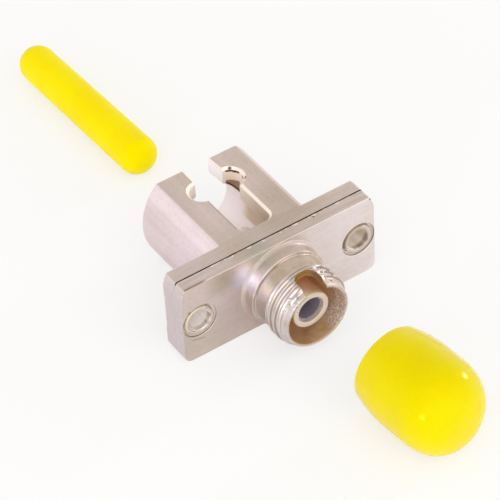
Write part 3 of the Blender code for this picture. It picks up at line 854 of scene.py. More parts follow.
@effect("Marks and painted light")
def marks_and_painted_light(tree, vector):
    """Tints to multiply the plate colour by, zone by zone: mostly painted reflections and painted
    shade, with a dark score line, uneven streaks and small dark spots.

    Fillet is 1 on the fillet at the foot of the boss.
    """
    x, y, z = place = place_mm(tree, vector)
    noise = noise_at(tree, vector, 260.0, 3.0)
    streak = noise_at(tree, vector, 620.0, 3.0)
    radius = axis_radius(tree, x, z)
    foot = BOSS_DIAMETER / 2
    flat = product(tree, (y, FACE_Y + 0.12, FACE_Y + 0.02), (y, FACE_Y - 0.5, FACE_Y - 0.1))
    port = ramped(tree, y, FACE_Y - 0.1, FACE_Y - 0.5)
    right = product(tree, flat, (x, -1.0, 4.0))
    above = ramped(tree, z, 6.0, 7.5)
    behind = ramped(tree, y, 0.0, 0.1)
    fillet = product(tree, (radius, foot, foot + 0.1), (y, FACE_Y - 0.01, FACE_Y - 0.06))
    neck = (y, BOSS_Y - 0.05, BOSS_Y - 0.15), (y, THREAD_START_Y - 0.2, THREAD_START_Y)
    boss = (y, FACE_Y - 0.35, FACE_Y - 0.5), (y, BOSS_Y - 0.05, BOSS_Y + 0.05), (x, -3.0, -1.5)
    step = (radius, 4.02, 3.94), (y, BOSS_Y + 0.08, BOSS_Y + 0.03)
    crevice = (y, BOSS_Y - 0.12, BOSS_Y - 0.06), (x, -0.3, -1.6), (z, 5.0, 6.4)
    corner = (x, -7.9, -8.6), (z, FLANGE_HEIGHT - 0.1, FLANGE_HEIGHT - 0.04)
    score = size_of(tree, less(tree, scaled(tree, x, 0.236, z), 0.187))
    score_end = size_of(tree, maths(tree, "ADD", x, 9.42))
    colour = WHITE
    for tint, *factors in (
        # a dark score line on the front face
        ((0.5, 0.43, 0.37), flat, (score, 0.06, 0.03), (score_end, 0.76, 0.66)),
        # painted reflections: the front face's right part lighter and bluer, its lower left darker,
        # and the boss's left side bluer
        ((1.11, 1.17, 1.25), right),
        ((1.05, 1.07, 1.10), right, (z, 6.0, 3.0)),
        ((0.87, 0.88, 0.79), flat, (x, -2.5, -7.0), (z, 6.5, 2.0)),
        ((0.97, 1.02, 1.11), port, (x, -0.8, -3.0)),
        # painted shade on the tops of the neck and the boss, then uneven streaks on the port
        ((0.95, 0.93, 0.85), above, *neck),
        ((0.95, 0.94, 0.90), above, *boss),
        ((0.88, 0.87, 0.79), port, (streak, 0.46, 0.62)),
        # painted shade in the crease between the boss and the neck, then darker along the top front
        # edge at the left
        ((0.52, 0.44, 0.36), *step, *crevice, (noise, 0.35, 0.5)),
        ((0.52, 0.44, 0.38), (y, FACE_Y + 0.22, FACE_Y + 0.12), *corner),
        # painted shade that dims the fillet's highlight
        ((0.86, 0.83, 0.80), fillet),
        # painted light on the rear plate and the barrel, more at the barrel's left; painted
        # reflections bluer on the left and cooler on the left end
        ((1.06, 1.06, 1.09), behind),
        ((1.03, 1.02, 1.05), behind, (x, -4.2, -4.9)),
        ((1.0, 1.01, 1.07), (x, -4.2, -4.9)),
        ((0.95, 0.97, 1.03), (x, -10.4, -10.9)),
    ):
        colour = mixed(tree, product(tree, *factors), colour, tinted(tree, colour, tint))
    for tint, centre, outer, inner in (
        # a small dark spot by the left rivet; then painted reflections on the face, with the boss
        # reflected bluish white to its left, and painted shade on the top flats; then small dark
        # spots on the top and at the face's upper corners
        ((0.3, 0.26, 0.22), (-10.19, FACE_Y, 6.23), 0.22, 0.05),
        ((0.86, 0.93, 0.90), (-2.0, FACE_Y, 9.0), 2.2, 0.6),
        ((1.02, 1.12, 1.26), (-4.4, FACE_Y, 7.2), 1.9, 0.5),
        ((0.90, 0.90, 0.88), (-1.0, -1.6, FLANGE_HEIGHT), 5.0, 1.5),
        ((0.85, 0.84, 0.77), (3.5, 1.0, FLANGE_HEIGHT), 5.5, 1.5),
        ((0.88, 0.90, 0.78), (-6.7, FACE_Y, 8.0), 2.0, 0.4),
        ((0.3, 0.27, 0.26), (4.74, -2.19, FLANGE_HEIGHT), 0.17, 0.06),
        ((0.3, 0.26, 0.26), (10.6, FACE_Y, 9.1), 0.2, 0.05),
        ((0.3, 0.26, 0.25), (-10.85, FACE_Y, 8.95), 0.22, 0.05),
    ):
        mask = ball(tree, place, centre, outer, inner, noise)
        colour = mixed(tree, mask, colour, tinted(tree, colour, tint))
    return {"Color": colour, "Fillet": fillet}


@effect("Drawn lines", Contrast=0.3)
def drawn_lines(tree, vector, contrast):
    """Fine straight lines left by the cutter: noise stretched along X, or along Y behind.

    They are weaker below the flat top of the plates.
    """
    _, y, z = place_mm(tree, vector)
    behind = ramped(tree, y, 0.0, 0.1)
    along_x, along_y, band = [
        noise_at(tree, vector, scale, 4.0, stretch)
        for scale, stretch in (
            (2600.0, (0.07, 1.0, 1.0)),
            (2600.0, (1.0, 0.04, 1.0)),
            (620.0, (1.0, 0.03, 1.0)),
        )
    ]
    across = product(tree, along_x, less(tree, 1.0, behind))
    bands = scaled(tree, less(tree, band, 0.5), 1.6, along_y)
    fine = scaled(tree, bands, behind, across)
    top = ramped(tree, z, FLANGE_HEIGHT - 0.3, FLANGE_HEIGHT - 0.02)
    level = scaled(tree, largest(tree, top, behind), 0.75, 0.25)
    contrast = product(tree, level, contrast)
    return {"Color": grey(tree, scaled(tree, less(tree, fine, 0.5), contrast, 1.0))}


@effect("Thread lines", Pitch=THREAD_PITCH)
def thread_lines(tree, vector, pitch):
    """1 on the thread's flanks, between its crests and roots, along the helix, where painted shade
    darkens them.

    The helix phase is (start - y) / pitch + turn; its distance from the nearest whole
    number is nought on a crest and a half on a root.
    """
    x, y, z = place_mm(tree, vector)
    turn = maths(tree, "ARCTAN2", x, less(tree, z, AXIS_Z))
    phase = maths(tree, "DIVIDE", less(tree, THREAD_START_Y, y), pitch)
    phase = scaled(tree, turn, 1 / math.tau, phase)
    off = size_of(tree, less(tree, maths(tree, "FRACT", phase), 0.5))
    middle = size_of(tree, scaled(tree, off, 2.0, -0.5))
    flank = product(
        tree,
        (middle, 0.22, 0.088),
        (y, THREAD_START_Y, THREAD_START_Y - 0.7),
        (y, THREAD_END_Y - 0.02, THREAD_END_Y + 0.2),
        (axis_radius(tree, x, z), 3.4, 3.5),
    )
    return {"Flank": flank}


@effect("Seam dirt")
def seam_dirt(tree, vector):
    """A dark line where the plates meet, broken a little by noise, and bright chips beside it."""
    _, y, z = place_mm(tree, vector)
    off = less(tree, y, PARTING_Y)
    width = scaled(tree, noise_at(tree, vector, 900.0, 3.0), 0.09, 0.045)
    line = (size_of(tree, off), width, product(tree, width, 0.6))
    chips = (noise_at(tree, vector, 1900.0, 2.0), 0.57, 0.62)
    return {
        "Line": product(tree, line, (z, 8.9, 9.2)),
        "Chips": product(tree, chips, (off, -0.4, -0.2), (off, -0.06, -0.09), (z, 9.1, 9.2)),
    }


@effect("Fine scratches")
def fine_scratches(tree, vector):
    """Thin lines where a noise, stretched along one direction, passes its middle value."""
    slanted = {"Vector": vector, "Rotation": (0.4, 0.7, 0.9), "Scale": (1.0, 9.0, 9.0)}
    place = add_node(tree, "ShaderNodeMapping", slanted).outputs[0]
    off = size_of(tree, less(tree, noise_at(tree, place, 300.0, 1.0), 0.5))
    where = noise_at(tree, vector, 500.0, 2.0)
    return {"Mask": product(tree, (off, 0.012, 0.0), (where, 0.5, 0.65))}


def blank_material(name):
    """A material with nothing but its Principled shader and its Object coordinates."""
    made = bpy.data.materials.new(name)
    made.use_nodes = True
    tree = made.node_tree
    vector = tree.nodes.new("ShaderNodeTexCoord").outputs["Object"]
    return made, tree, tree.nodes["Principled BSDF"], vector


def bumped(tree, *heights):
    """The normal of heights laid over one another, each with its distance in millimetres."""
    under = {}
    for height, distance in heights:
        inputs = {"Height": height, "Distance": distance * MM, **under}
        under = {"Normal": add_node(tree, "ShaderNodeBump", inputs).outputs["Normal"]}
    return under["Normal"]


def plated_metal(
    name, clean, yellowed, roughness, inside, threshold=0.5, mottle=0.06, metallic=1.0,
    rings=0.0, drawn=0.0, thread=0.0, seam=False,
):
    """Satin nickel over cast or turned metal: patches, grain, scratches and turning marks.

    Inside is a function that gives the mask and colour of bores and walls, which are
    duller and painted with light and shade, and their painted glow or None. Rings is the
    depth of the turning marks, and drawn the contrast of the cutter's lines, along X on the
    plates and along Y on the barrel; drawn also lays on each zone's painted reflections and
    shade, and a few dark marks. Thread is the thread's pitch, which also paints shade on its
    flanks and glints on the torn thread, and seam adds the dark line between the plates.
    """
    made, tree, shader, vector = blank_material(name)
    plate_colours = {"Clean": clean, "Yellowed": yellowed, "Threshold": threshold}
    colour = yellowed_patches(tree, vector, Mottle=mottle, **plate_colours)["Color"]
    satin = satin_grain(tree, vector, Roughness=roughness)
    scratch = fine_scratches(tree, vector)["Mask"]
    rough = scaled(tree, scratch, 0.12, satin["Roughness"])
    heights = [(satin["Height"], 0.0045), (scratch, -0.002)]
    if rings:
        heights.append((turning_marks(tree, vector)["Height"], 0.012 * rings))
    if drawn:
        colour = tinted(tree, colour, drawn_lines(tree, vector, Contrast=drawn)["Color"])
        # The zones' tints: painted reflections and shade, with a few dark marks; the fillet,
        # painted darker, is also made rougher.
        zones = marks_and_painted_light(tree, vector)
        colour = tinted(tree, colour, zones["Color"])
        rough = scaled(tree, zones["Fillet"], 0.3, rough)
    if thread:
        # Painted shade on the thread's flanks; on the torn thread, painted glints and dark specks.
        flank = product(tree, thread_lines(tree, vector, Pitch=thread)["Flank"], 0.9)
        torn = burrs_and_glints(tree, vector)
        colour = layered(
            tree,
            colour,
            (flank, (0.34, 0.27, 0.22)),
            (torn["Light"], (0.97, 0.94, 0.95)),
            (torn["Dark"], (0.30, 0.24, 0.29)),
        )
    # Bores and walls take their painted light and shade colours, and a painted glow, from inside.
    mask, tone, glow = inside(tree, vector)
    colour = mixed(tree, mask, colour, tone)
    rough = scaled(tree, mask, 0.14, rough)
    if seam:
        dirt = seam_dirt(tree, vector)
        lines = (dirt["Line"], (0.035, 0.02, 0.012)), (dirt["Chips"], (0.95, 0.92, 0.9))
        colour = layered(tree, colour, *lines)
        rough = scaled(tree, dirt["Line"], 0.4, rough)
        heights.append((dirt["Chips"], 0.02))
    if thread:
        heights.append((torn["Height"], 0.12))
    # The painted glow is an emission, though no lamp is there.
    if glow:
        feed(tree, shader, {"Emission Color": glow, "Emission Strength": 1.0})
    looks = {
        "Base Color": colour,
        "Roughness": rough,
        "Metallic": scaled(tree, mask, -0.6 * metallic, metallic),
        "Normal": bumped(tree, *heights),
    }
    feed(tree, shader, looks)
    return made


def soft_vinyl(name, colour, deep, roughness, gloss):
    """Dip-moulded vinyl: a slow colour drift, faint dust and a softly uneven skin."""
    made, tree, shader, vector = blank_material(name)
    patches = yellowed_patches(
        tree, vector, Clean=colour, Yellowed=deep, Patch=210.0, Mottle=0.02
    )
    satin = satin_grain(tree, vector, Roughness=roughness, Grain=3200.0, Spread=0.1)
    skin = noise_at(tree, vector, 330.0, 1.5)
    looks = {
        "Base Color": patches["Color"],
        "Roughness": satin["Roughness"],
        "IOR": 1.5,
        "Specular IOR Level": gloss,
        "Specular Tint": (1.0, 0.95, 0.06),
        "Subsurface Weight": 0.6,
        "Subsurface Radius": (1.0, 0.8, 0.2),
        "Subsurface Scale": 0.002,
        "Normal": bumped(tree, (skin, 0.04), (satin["Height"], 0.006)),
    }
    feed(tree, shader, looks)
    return made


def drawn_bronze(name):
    """Drawn spring bronze with a thin grey plate, lined along the tube by the drawing."""
    made, tree, shader, vector = blank_material(name)
    satin = satin_grain(tree, vector, Roughness=0.28, Spread=0.1)
    grey_plate = {"Clean": (0.55, 0.49, 0.61), "Yellowed": (0.44, 0.38, 0.46)}
    patches = yellowed_patches(tree, vector, Mottle=0.08, **grey_plate)
    lines = noise_at(tree, vector, 9000.0, 2.0, (1.0, 0.05, 1.0))
    looks = {
        "Base Color": patches["Color"],
        "Roughness": satin["Roughness"],
        "Metallic": 0.5,
        "Normal": bumped(tree, (lines, 0.003)),
    }
    feed(tree, shader, looks)
    return made


# -------------------------------------------------------------------- pieces


def flange_outline(inset):
    """The flange in the XZ plane: round corners below, slanted shoulders above.

    Pulling the outline in moves each corner to radius / sin(half its angle) along its
    middle line and takes the inset from its radius, so the arcs keep their centres.
    """
    end = FLANGE_WIDTH / 2
    top = end - SHOULDER_IN
    shoulder = FLANGE_HEIGHT - SHOULDER_DROP
    corners = [
        (top, FLANGE_HEIGHT, SHOULDER_CORNER),
        (-top, FLANGE_HEIGHT, SHOULDER_CORNER),
        (-end, shoulder, SHOULDER_BLEND),
        (-end, 0.0, FLANGE_CORNER),
        (end, 0.0, FLANGE_CORNER),
        (end, shoulder, SHOULDER_BLEND),
    ]
    places = np.array(corners)[:, :2]
    back = np.roll(places, 1, axis=0) - places
    ahead = np.roll(places, -1, axis=0) - places
    back /= np.linalg.norm(back, axis=1, keepdims=True)
    ahead /= np.linalg.norm(ahead, axis=1, keepdims=True)
    half = np.arccos(np.sum(back * ahead, axis=1)) / 2
    middle = (back + ahead) / (2 * np.cos(half))[:, None]
    moved = places + middle * (inset / np.sin(half))[:, None]
    return rounded(
        [(x, z, corner[2] - inset) for (x, z), corner in zip(moved, corners)], 8
    )


def plate(name, y_from, y_to, edge_from, edge_to):
    """A flange plate: its outline, with a quarter round at each face.

    Along a quarter round of radius e the outline is pulled in by e (1 - sin t) while
    the place moves by e (1 - cos t), for t from nought to a right angle.
    """
    turn = np.linspace(0, math.pi / 2, 6)
    insets = np.concatenate([edge_from * (1 - np.sin(turn)), edge_to * (1 - np.sin(turn[::-1]))])
    places = np.concatenate(
        [y_from + edge_from * (1 - np.cos(turn)), y_to - edge_to * (1 - np.cos(turn[::-1]))]
    )
    outlines = [flange_outline(inset) for inset in insets]
    return surface(name, levels_along(outlines, places, "y"))


def eyelet_holes(side):
    """A through hole with a recess at each end, its mouth broken by a small round."""
    hole = HOLE_DIAMETER / 2
    front = FRONT_RECESS_DIAMETER / 2
    rear = REAR_RECESS_DIAMETER / 2
    floor = FACE_Y + FRONT_RECESS_DEPTH
    lip = 0.06
    profile = [
        (0, FACE_Y - OVERSHOOT),
        (front + lip + OVERSHOOT, FACE_Y - OVERSHOOT),
        (front, FACE_Y + lip),
        (front, floor),
        (hole, floor),
        (hole, -REAR_RECESS_DEPTH),
        (rear, -REAR_RECESS_DEPTH),
        (rear, OVERSHOOT),
        (0, OVERSHOOT),
    ]
    return turned("hole", profile, FINE_STEPS, (side * HOLE_X, AXIS_Z), loop=False)


def thread_rings(pitch, depth, turn):
    """Rows of (radius, y) that climb with the thread, one column for each part turn.

    Row k lies at helix phase u = (start - y) / pitch + turn, so each row keeps its
    place on the crest, flank or root all the way round. Rows outside the thread are
    held at its ends, where the height fades out, and the first turn is one of them.
    """
    shares = np.concatenate([THREAD_SHARES, 1 - np.array(THREAD_SHARES[-2:0:-1])])
    heights = np.concatenate([THREAD_HEIGHTS, THREAD_HEIGHTS[-2:0:-1]])
    count = math.ceil(THREAD_TURNS + 1)
    phase = np.concatenate([(np.arange(-1, count)[:, None] + shares).ravel(), [count]])
    height = np.concatenate([np.tile(heights, count + 1), heights[:1]])
    end = THREAD_START_Y - THREAD_TURNS * pitch
    y = np.clip(THREAD_START_Y - (phase[:, None] - turn) * pitch, end, THREAD_START_Y)
    runout = 0.6 * pitch
    fade = np.clip(np.minimum(THREAD_START_Y - y, y - end) / runout, 0, 1)
    root = THREAD_DIAMETER / 2 - depth
    radius = root + depth * height[:, None] * fade
    beside = np.abs(radius * np.sin(turn * math.tau)) - KEYWAY_WIDTH / 2
    worn = np.clip(1 - beside / THREAD_WORN_WIDTH, 0, 1) * (np.cos(turn * math.tau) > 0)
    worn = np.where(fade > 0, worn * np.minimum(1, fade * 2), 0)
    return radius + (THREAD_WORN_DIAMETER / 2 - radius) * worn, y, len(shares)


def port_outside(pitch, depth, edge):
    """The boss, neck, thread and nose as one tube of rings about the port's axis."""
    boss = BOSS_DIAMETER / 2
    neck = NECK_DIAMETER / 2
    nose = NOSE_DIAMETER / 2
    inner = THREADED_BORE / 2 - 0.4
    thread_end = THREAD_START_Y - THREAD_TURNS * pitch
    rim_y = thread_end - NOSE_LENGTH
    root_y = FACE_Y + FRONT_PLATE / 2
    sunk = FACE_Y + 0.02
    turn = np.arange(ROUND_STEPS) / ROUND_STEPS
    foot = circle_arc((sunk - BOSS_FILLET, boss + BOSS_FILLET), BOSS_FILLET, 0, -90, 12)
    head = rounded(
        [
            (BOSS_Y + 0.4, boss, 0),
            (BOSS_Y, boss, 0.1),
            (BOSS_Y, neck, 0.08),
            (BOSS_Y - 0.3, neck, 0),
        ],
        6,
        False,
    )
    front = rounded(
        [(thread_end - 0.1, nose + 0.1, 0), (rim_y, nose, edge), (rim_y, inner, 0)], 5, False
    )
    before = np.concatenate([[(root_y, boss + BOSS_FILLET)], foot, head])
    after = np.concatenate([front, [(root_y, inner)]])
    thread, thread_y, in_turn = thread_rings(pitch, depth, turn)
    y, radius = [
        np.concatenate(
            [
                np.repeat(before[:, column, None], ROUND_STEPS, 1),
                middle,
                np.repeat(after[:, column, None], ROUND_STEPS, 1),
            ]
        )
        for column, middle in ((0, thread_y), (1, thread))
    ]
    limit = AXIS_Z - FACE_EDGE
    x = radius * np.sin(turn * math.tau)
    z = np.clip(radius * np.cos(turn * math.tau), -limit, limit) + AXIS_Z
    lead = (len(before) + in_turn, len(before) + len(thread) - 1, in_turn)
    return surface("port outside", np.stack([x, y, z], -1), loop=True, lead=lead)


def port_cavity(rim_y, edge):
    """The port bore, the holder's hole through the web and the collar's pocket."""
    bore = THREADED_BORE / 2
    hole = LARGE_HOLDER_DIAMETER / 2 + FIT_CLEARANCE
    pocket = COLLAR_DIAMETER / 2 + FIT_CLEARANCE
    floor = FACE_Y + THREADED_FLOOR
    pocket_floor = PARTING_Y - COLLAR_THICKNESS - SEAT_CLEARANCE
    mouth = circle_arc((rim_y + edge, bore + edge), edge, 180, 270, 6)[:, ::-1]
    profile = np.concatenate(
        [
            [(0, rim_y - OVERSHOOT), (bore + edge, rim_y - OVERSHOOT)],
            mouth,
            [(bore, floor), (hole, floor), (hole, pocket_floor)],
            [(pocket, pocket_floor), (pocket, OVERSHOOT), (0, OVERSHOOT)],
        ]
    )
    return turned("port cavity", profile, loop=False)


def keyway(rim_y):
    """A slot with a round end in plan, through the top wall, whose top edge is broken.

    The plan outline is repeated at heights that follow the port's round outside:
    z = sqrt(r r - x x), with the outline grown a little as r passes the outside.
    """
    low = AXIS_Z + LARGE_HOLDER_DIAMETER / 2 + 0.3
    grown = [0.0, 0.0, 0.03, 0.1, 0.5]
    radii = [None, THREAD_DIAMETER / 2 - 0.16, THREAD_DIAMETER / 2 - 0.1, 4.0, 4.4]
    outlines = []
    for grow in grown:
        half = KEYWAY_WIDTH / 2 + grow
        stop = rim_y + KEYWAY_DEPTH + grow
        corner = KEYWAY_CORNER + grow
        near = rim_y - OVERSHOOT
        corners = [(half, near, 0), (half, stop, corner), (-half, stop, corner), (-half, near, 0)]
        outlines.append(rounded(corners, 12))
    plan = np.stack(outlines)
    heights = [np.full(len(plan[0]), low)]
    for outline, radius in zip(plan[1:], radii[1:]):
        heights.append(AXIS_Z + np.sqrt(radius**2 - outline[:, 0] ** 2))
    return surface("keyway", np.stack([plan[..., 0], plan[..., 1], np.stack(heights)], -1))


def slot_plan(grow):
    """Plan of the wide slot, the obround window across it and the narrow latch slot."""
    wide = SLOT_WIDTH / 2 + grow
    narrow = LATCH_SLOT_WIDTH / 2 + grow
    radius = WINDOW_LENGTH / 2 + grow
    window_y = BARREL_LENGTH - WINDOW_FROM_END
    reach = WINDOW_WIDTH / 2 - WINDOW_LENGTH / 2
    corner = SLOT_CORNER + grow
    stop = SLOT_EDGE - grow
    outside = BARREL_LENGTH + OVERSHOOT
    start = math.degrees(math.acos(max(0.0, narrow - reach) / radius))
    join = -math.degrees(math.acos(max(0.0, wide - reach) / radius))
    half = np.concatenate(
        [
            [(narrow, outside)],
            circle_arc((reach, window_y), radius, start, join, 28),
            circle_arc((wide - corner, stop + corner), corner, 0, -90, 12),
        ]
    )
    return np.concatenate([half, half[::-1] * (-1, 1)])


def slot_cutter():
    """The slot's plan carried upwards, and grown as it rises through the edge break."""
    over = 0.2
    heights = [AXIS_Z + 0.2, FLANGE_HEIGHT - SLOT_EDGE, FLANGE_HEIGHT + over]
    plans = [slot_plan(grow) for grow in (0.0, 0.0, SLOT_EDGE + over)]
    return surface("slot", levels_along(plans, heights, "z"))


def barrel(edge):
    """A round bar with a flat above and below, and a quarter round at its open end."""
    turn = np.linspace(0, math.pi / 2, 7)
    insets = np.concatenate([[0.0], edge * (1 - np.sin(turn[::-1]))])
    places = np.concatenate([[-REAR_PLATE / 2], BARREL_LENGTH - edge * (1 - np.cos(turn[::-1]))])
    outlines = []
    for inset in insets:
        radius = BARREL_DIAMETER / 2 - inset
        half = FLANGE_HEIGHT / 2 - inset
        reach = math.degrees(math.asin(half / radius))
        side = circle_arc((0, AXIS_Z), radius, -reach, reach, 60)
        corners = np.zeros((len(side), 3))
        corners[:, :2] = side
        corners[[0, -1], 2] = 0.1
        mirrored = corners * (-1, 1, 1)
        outlines.append(rounded(np.concatenate([corners, mirrored[::-1]]).tolist(), 3))
    return surface("barrel", levels_along(outlines, places, "y"))


def latched_cavity(edge):
    """The collar's pocket, the holder's hole through the web and the port bore."""
    bore = LATCHED_BORE / 2
    hole = SMALL_HOLDER_DIAMETER / 2 + FIT_CLEARANCE
    pocket = COLLAR_DIAMETER / 2 + FIT_CLEARANCE
    pocket_floor = PARTING_Y + COLLAR_THICKNESS + SEAT_CLEARANCE
    mouth = circle_arc((BARREL_LENGTH - edge, bore + edge), edge, 270, 360, 6)[:, ::-1]
    profile = np.concatenate(
        [
            [(0, PARTING_Y - OVERSHOOT), (pocket, PARTING_Y - OVERSHOOT), (pocket, pocket_floor)],
            [(hole, pocket_floor), (hole, -LATCHED_FLOOR), (bore, -LATCHED_FLOOR)],
            mouth,
            [(bore + edge, BARREL_LENGTH + OVERSHOOT), (0, BARREL_LENGTH + OVERSHOOT)],
        ]
    )
    return turned("latched cavity", profile, loop=False)


def eyelet_profile():
    """A hollow rivet's section: a low domed head, the shank and a rolled end."""
    bore = EYELET_BORE / 2
    shank = HOLE_DIAMETER / 2 - FIT_CLEARANCE
    head = EYELET_HEAD_DIAMETER / 2
    roll = EYELET_ROLL_DIAMETER / 2
    head_seat = FACE_Y + FRONT_RECESS_DEPTH - SEAT_CLEARANCE
    roll_seat = -REAR_RECESS_DEPTH + SEAT_CLEARANCE
    head_top = FACE_Y + 0.02
    roll_top = -0.03
    return rounded(
        [
            (bore, head_top + 0.1, 0.05),
            (bore + 0.18, head_top, 0.2),
            (head - 0.1, head_top, 0.16),
            (head, head_seat, 0.05),
            (shank, head_seat, 0.03),
            (shank, roll_seat, 0.03),
            (roll, roll_seat, 0.05),
            (roll - 0.12, roll_top, 0.1),
            (bore + 0.16, roll_top, 0.1),
            (bore, roll_top - 0.1, 0.05),
        ],
        6,
    )


def large_holder_profile(edge):
    """The large holder's section: a tube with a lip, and a collar at the parting plane."""
    outer = LARGE_HOLDER_DIAMETER / 2
    lip = LARGE_LIP_BORE / 2
    seat = LARGE_SLEEVE_OUTER / 2 + FIT_CLEARANCE
    collar = COLLAR_DIAMETER / 2
    tip = PORT_END_Y + LARGE_HOLDER_RECESS
    end = PARTING_Y - PARTING_GAP / 2
    return rounded(
        [
            (lip, tip, 0.12),
            (outer, tip, 0.14),
            (outer, PARTING_Y - COLLAR_THICKNESS, 0),
            (collar, PARTING_Y - COLLAR_THICKNESS, edge),
            (collar, end, 0),
            (seat, end, 0),
            (seat, tip + LARGE_HOLDER_LIP, 0),
            (lip, tip + LARGE_HOLDER_LIP, 0.04),
        ],
        6,
    )


def small_holder_profile(edge):
    """The slimmer holder's section."""
    outer = SMALL_HOLDER_DIAMETER / 2
    lip = SMALL_LIP_BORE / 2
    seat = SMALL_SLEEVE_OUTER / 2 + FIT_CLEARANCE
    collar = COLLAR_DIAMETER / 2
    tip = SMALL_HOLDER_REACH
    start = PARTING_Y + PARTING_GAP / 2
    return rounded(
        [
            (seat, start, 0),
            (collar, start, 0),
            (collar, PARTING_Y + COLLAR_THICKNESS, edge),
            (outer, PARTING_Y + COLLAR_THICKNESS, 0),
            (outer, tip, 0.12),
            (lip, tip, 0.1),
            (lip, tip - SMALL_HOLDER_LIP, 0.04),
            (seat, tip - SMALL_HOLDER_LIP, 0),
        ],
        6,
    )


def cap_radius(along, widest, dome):
    """The fat cap's radius at distances from its mouth.

    It widens from the mouth in a quarter of a parabola, stays even, and then closes
    in a superellipse: widest (1 - s^n)^(1/n), with s the share of the dome.
    """
    mouth = widest - (CAP_DIAMETER - CAP_MOUTH_DIAMETER) / 2
    dome_start = CAP_LENGTH - CAP_DOME_LENGTH
    taper = widest - (widest - mouth) * (1 - np.clip(along / CAP_TAPER_LENGTH, 0, 1)) ** 2
    share = np.clip((along - dome_start) / dome, 0, 1)
    return taper * (1 - share**CAP_DOME_POWER) ** (1 / CAP_DOME_POWER)


def fat_cap(name, lip):
    """The hollow cap: outer rows from the tip to the mouth, a round lip, then inner rows."""
    outer = CAP_DIAMETER / 2
    inner = outer - CAP_WALL
    dome_start = CAP_LENGTH - CAP_DOME_LENGTH
    turn = np.linspace(0, math.pi / 2, 26)
    outer_y = np.concatenate(
        [np.linspace(lip, dome_start, 24)[:-1], dome_start + CAP_DOME_LENGTH * np.sin(turn)]
    )
    inner_y = np.concatenate(
        [
            np.linspace(lip, dome_start, 12)[:-1],
            dome_start + (CAP_DOME_LENGTH - CAP_WALL) * np.sin(turn),
        ]
    )
    outside = np.stack([outer_y, cap_radius(outer_y, outer, CAP_DOME_LENGTH)], -1)
    inside = np.stack([inner_y, cap_radius(inner_y, inner, CAP_DOME_LENGTH - CAP_WALL)], -1)
    middle = (outside[0, 1] + inside[0, 1]) / 2
    half = (outside[0, 1] - inside[0, 1]) / 2
    rim_turn = np.radians(np.linspace(0, 180, 9))[1:-1]
    rim = np.stack([lip - lip * np.sin(rim_turn), middle + half * np.cos(rim_turn)], -1)
    rows = np.concatenate([outside[::-1], rim, inside])
    angle = np.linspace(0, math.tau, FINE_STEPS, endpoint=False)
    y, radius = rows[:, :1], rows[:, 1:]
    drift = np.maximum(0, (y - dome_start) / CAP_DOME_LENGTH) ** 2
    x = radius * np.cos(angle) + CAP_TIP[0] * drift
    z = radius * np.sin(angle) + CAP_TIP[1] * drift
    along = -np.broadcast_to(y, x.shape)
    return surface(name, laid(x, along, z + outer, CAP_TURN, CAP_MOUTH))


def long_plug(name):
    """The solid plug: an elliptic dome, a slow taper and a second dome, lying on its side."""
    near = PLUG_NEAR_DIAMETER / 2
    far = PLUG_FAR_DIAMETER / 2
    body = PLUG_LENGTH - PLUG_NEAR_DOME - PLUG_FAR_DOME
    turn = np.linspace(0, math.pi / 2, 24)
    shaft = np.linspace(0, 1, 30)[1:-1]
    y = np.concatenate(
        [
            PLUG_NEAR_DOME * (1 - np.cos(turn)),
            PLUG_NEAR_DOME + body * shaft,
            PLUG_NEAR_DOME + body + PLUG_FAR_DOME * np.sin(turn),
        ]
    )[:, None]
    radius = np.concatenate(
        [near * np.sin(turn), near + (far - near) * shaft, far * np.cos(turn)]
    )[:, None]
    angle = np.linspace(0, math.tau, FINE_STEPS, endpoint=False)
    x = radius * np.sin(angle)
    z = radius * np.cos(angle)
    y = np.broadcast_to(y, x.shape)
    lean = math.atan((near - far) / body)
    y, z = y * math.cos(lean) + z * math.sin(lean), z * math.cos(lean) - y * math.sin(lean)
    return surface(name, laid(x, y, z + near, PLUG_TURN, PLUG_NEAR_END))


# ----------------------------------------------------------------- operators


class ADAPTER_OT_front_housing(bpy.types.Operator):
    """Builds the front plate with its boss, threaded collar, bore and keyway"""

    bl_idname = "adapter.front_housing"
    bl_label = "Front Housing"

    def execute(self, context):
        sizes = context.scene.adapter_sizes
        finish = context.scene.adapter_finish
        pitch = sizes.thread_pitch / MM
        edge = sizes.edge_round / MM
        rim_y = THREAD_START_Y - THREAD_TURNS * pitch - NOSE_LENGTH
        body = plate("front_housing", FACE_Y, PARTING_Y - PARTING_GAP / 2, FACE_EDGE, SEAM_EDGE)
        carve(body, [port_outside(pitch, sizes.thread_depth / MM, edge)], "UNION")
        carve(body, [port_cavity(rim_y, edge), keyway(rim_y), eyelet_holes(-1), eyelet_holes(1)])
        metal = plated_metal(
            "nickel_front",
            finish.nickel,
            finish.nickel_warm,
            finish.nickel_roughness,
            rings=1.0,
            inside=lambda tree, vector: bore_colour_and_painted_light(tree, vector, finish.brass, finish.brass_deep),
            seam=True,
            thread=pitch,
            drawn=0.5,
        )
        finished(body, metal, "threaded_housing")
        return {"FINISHED"}


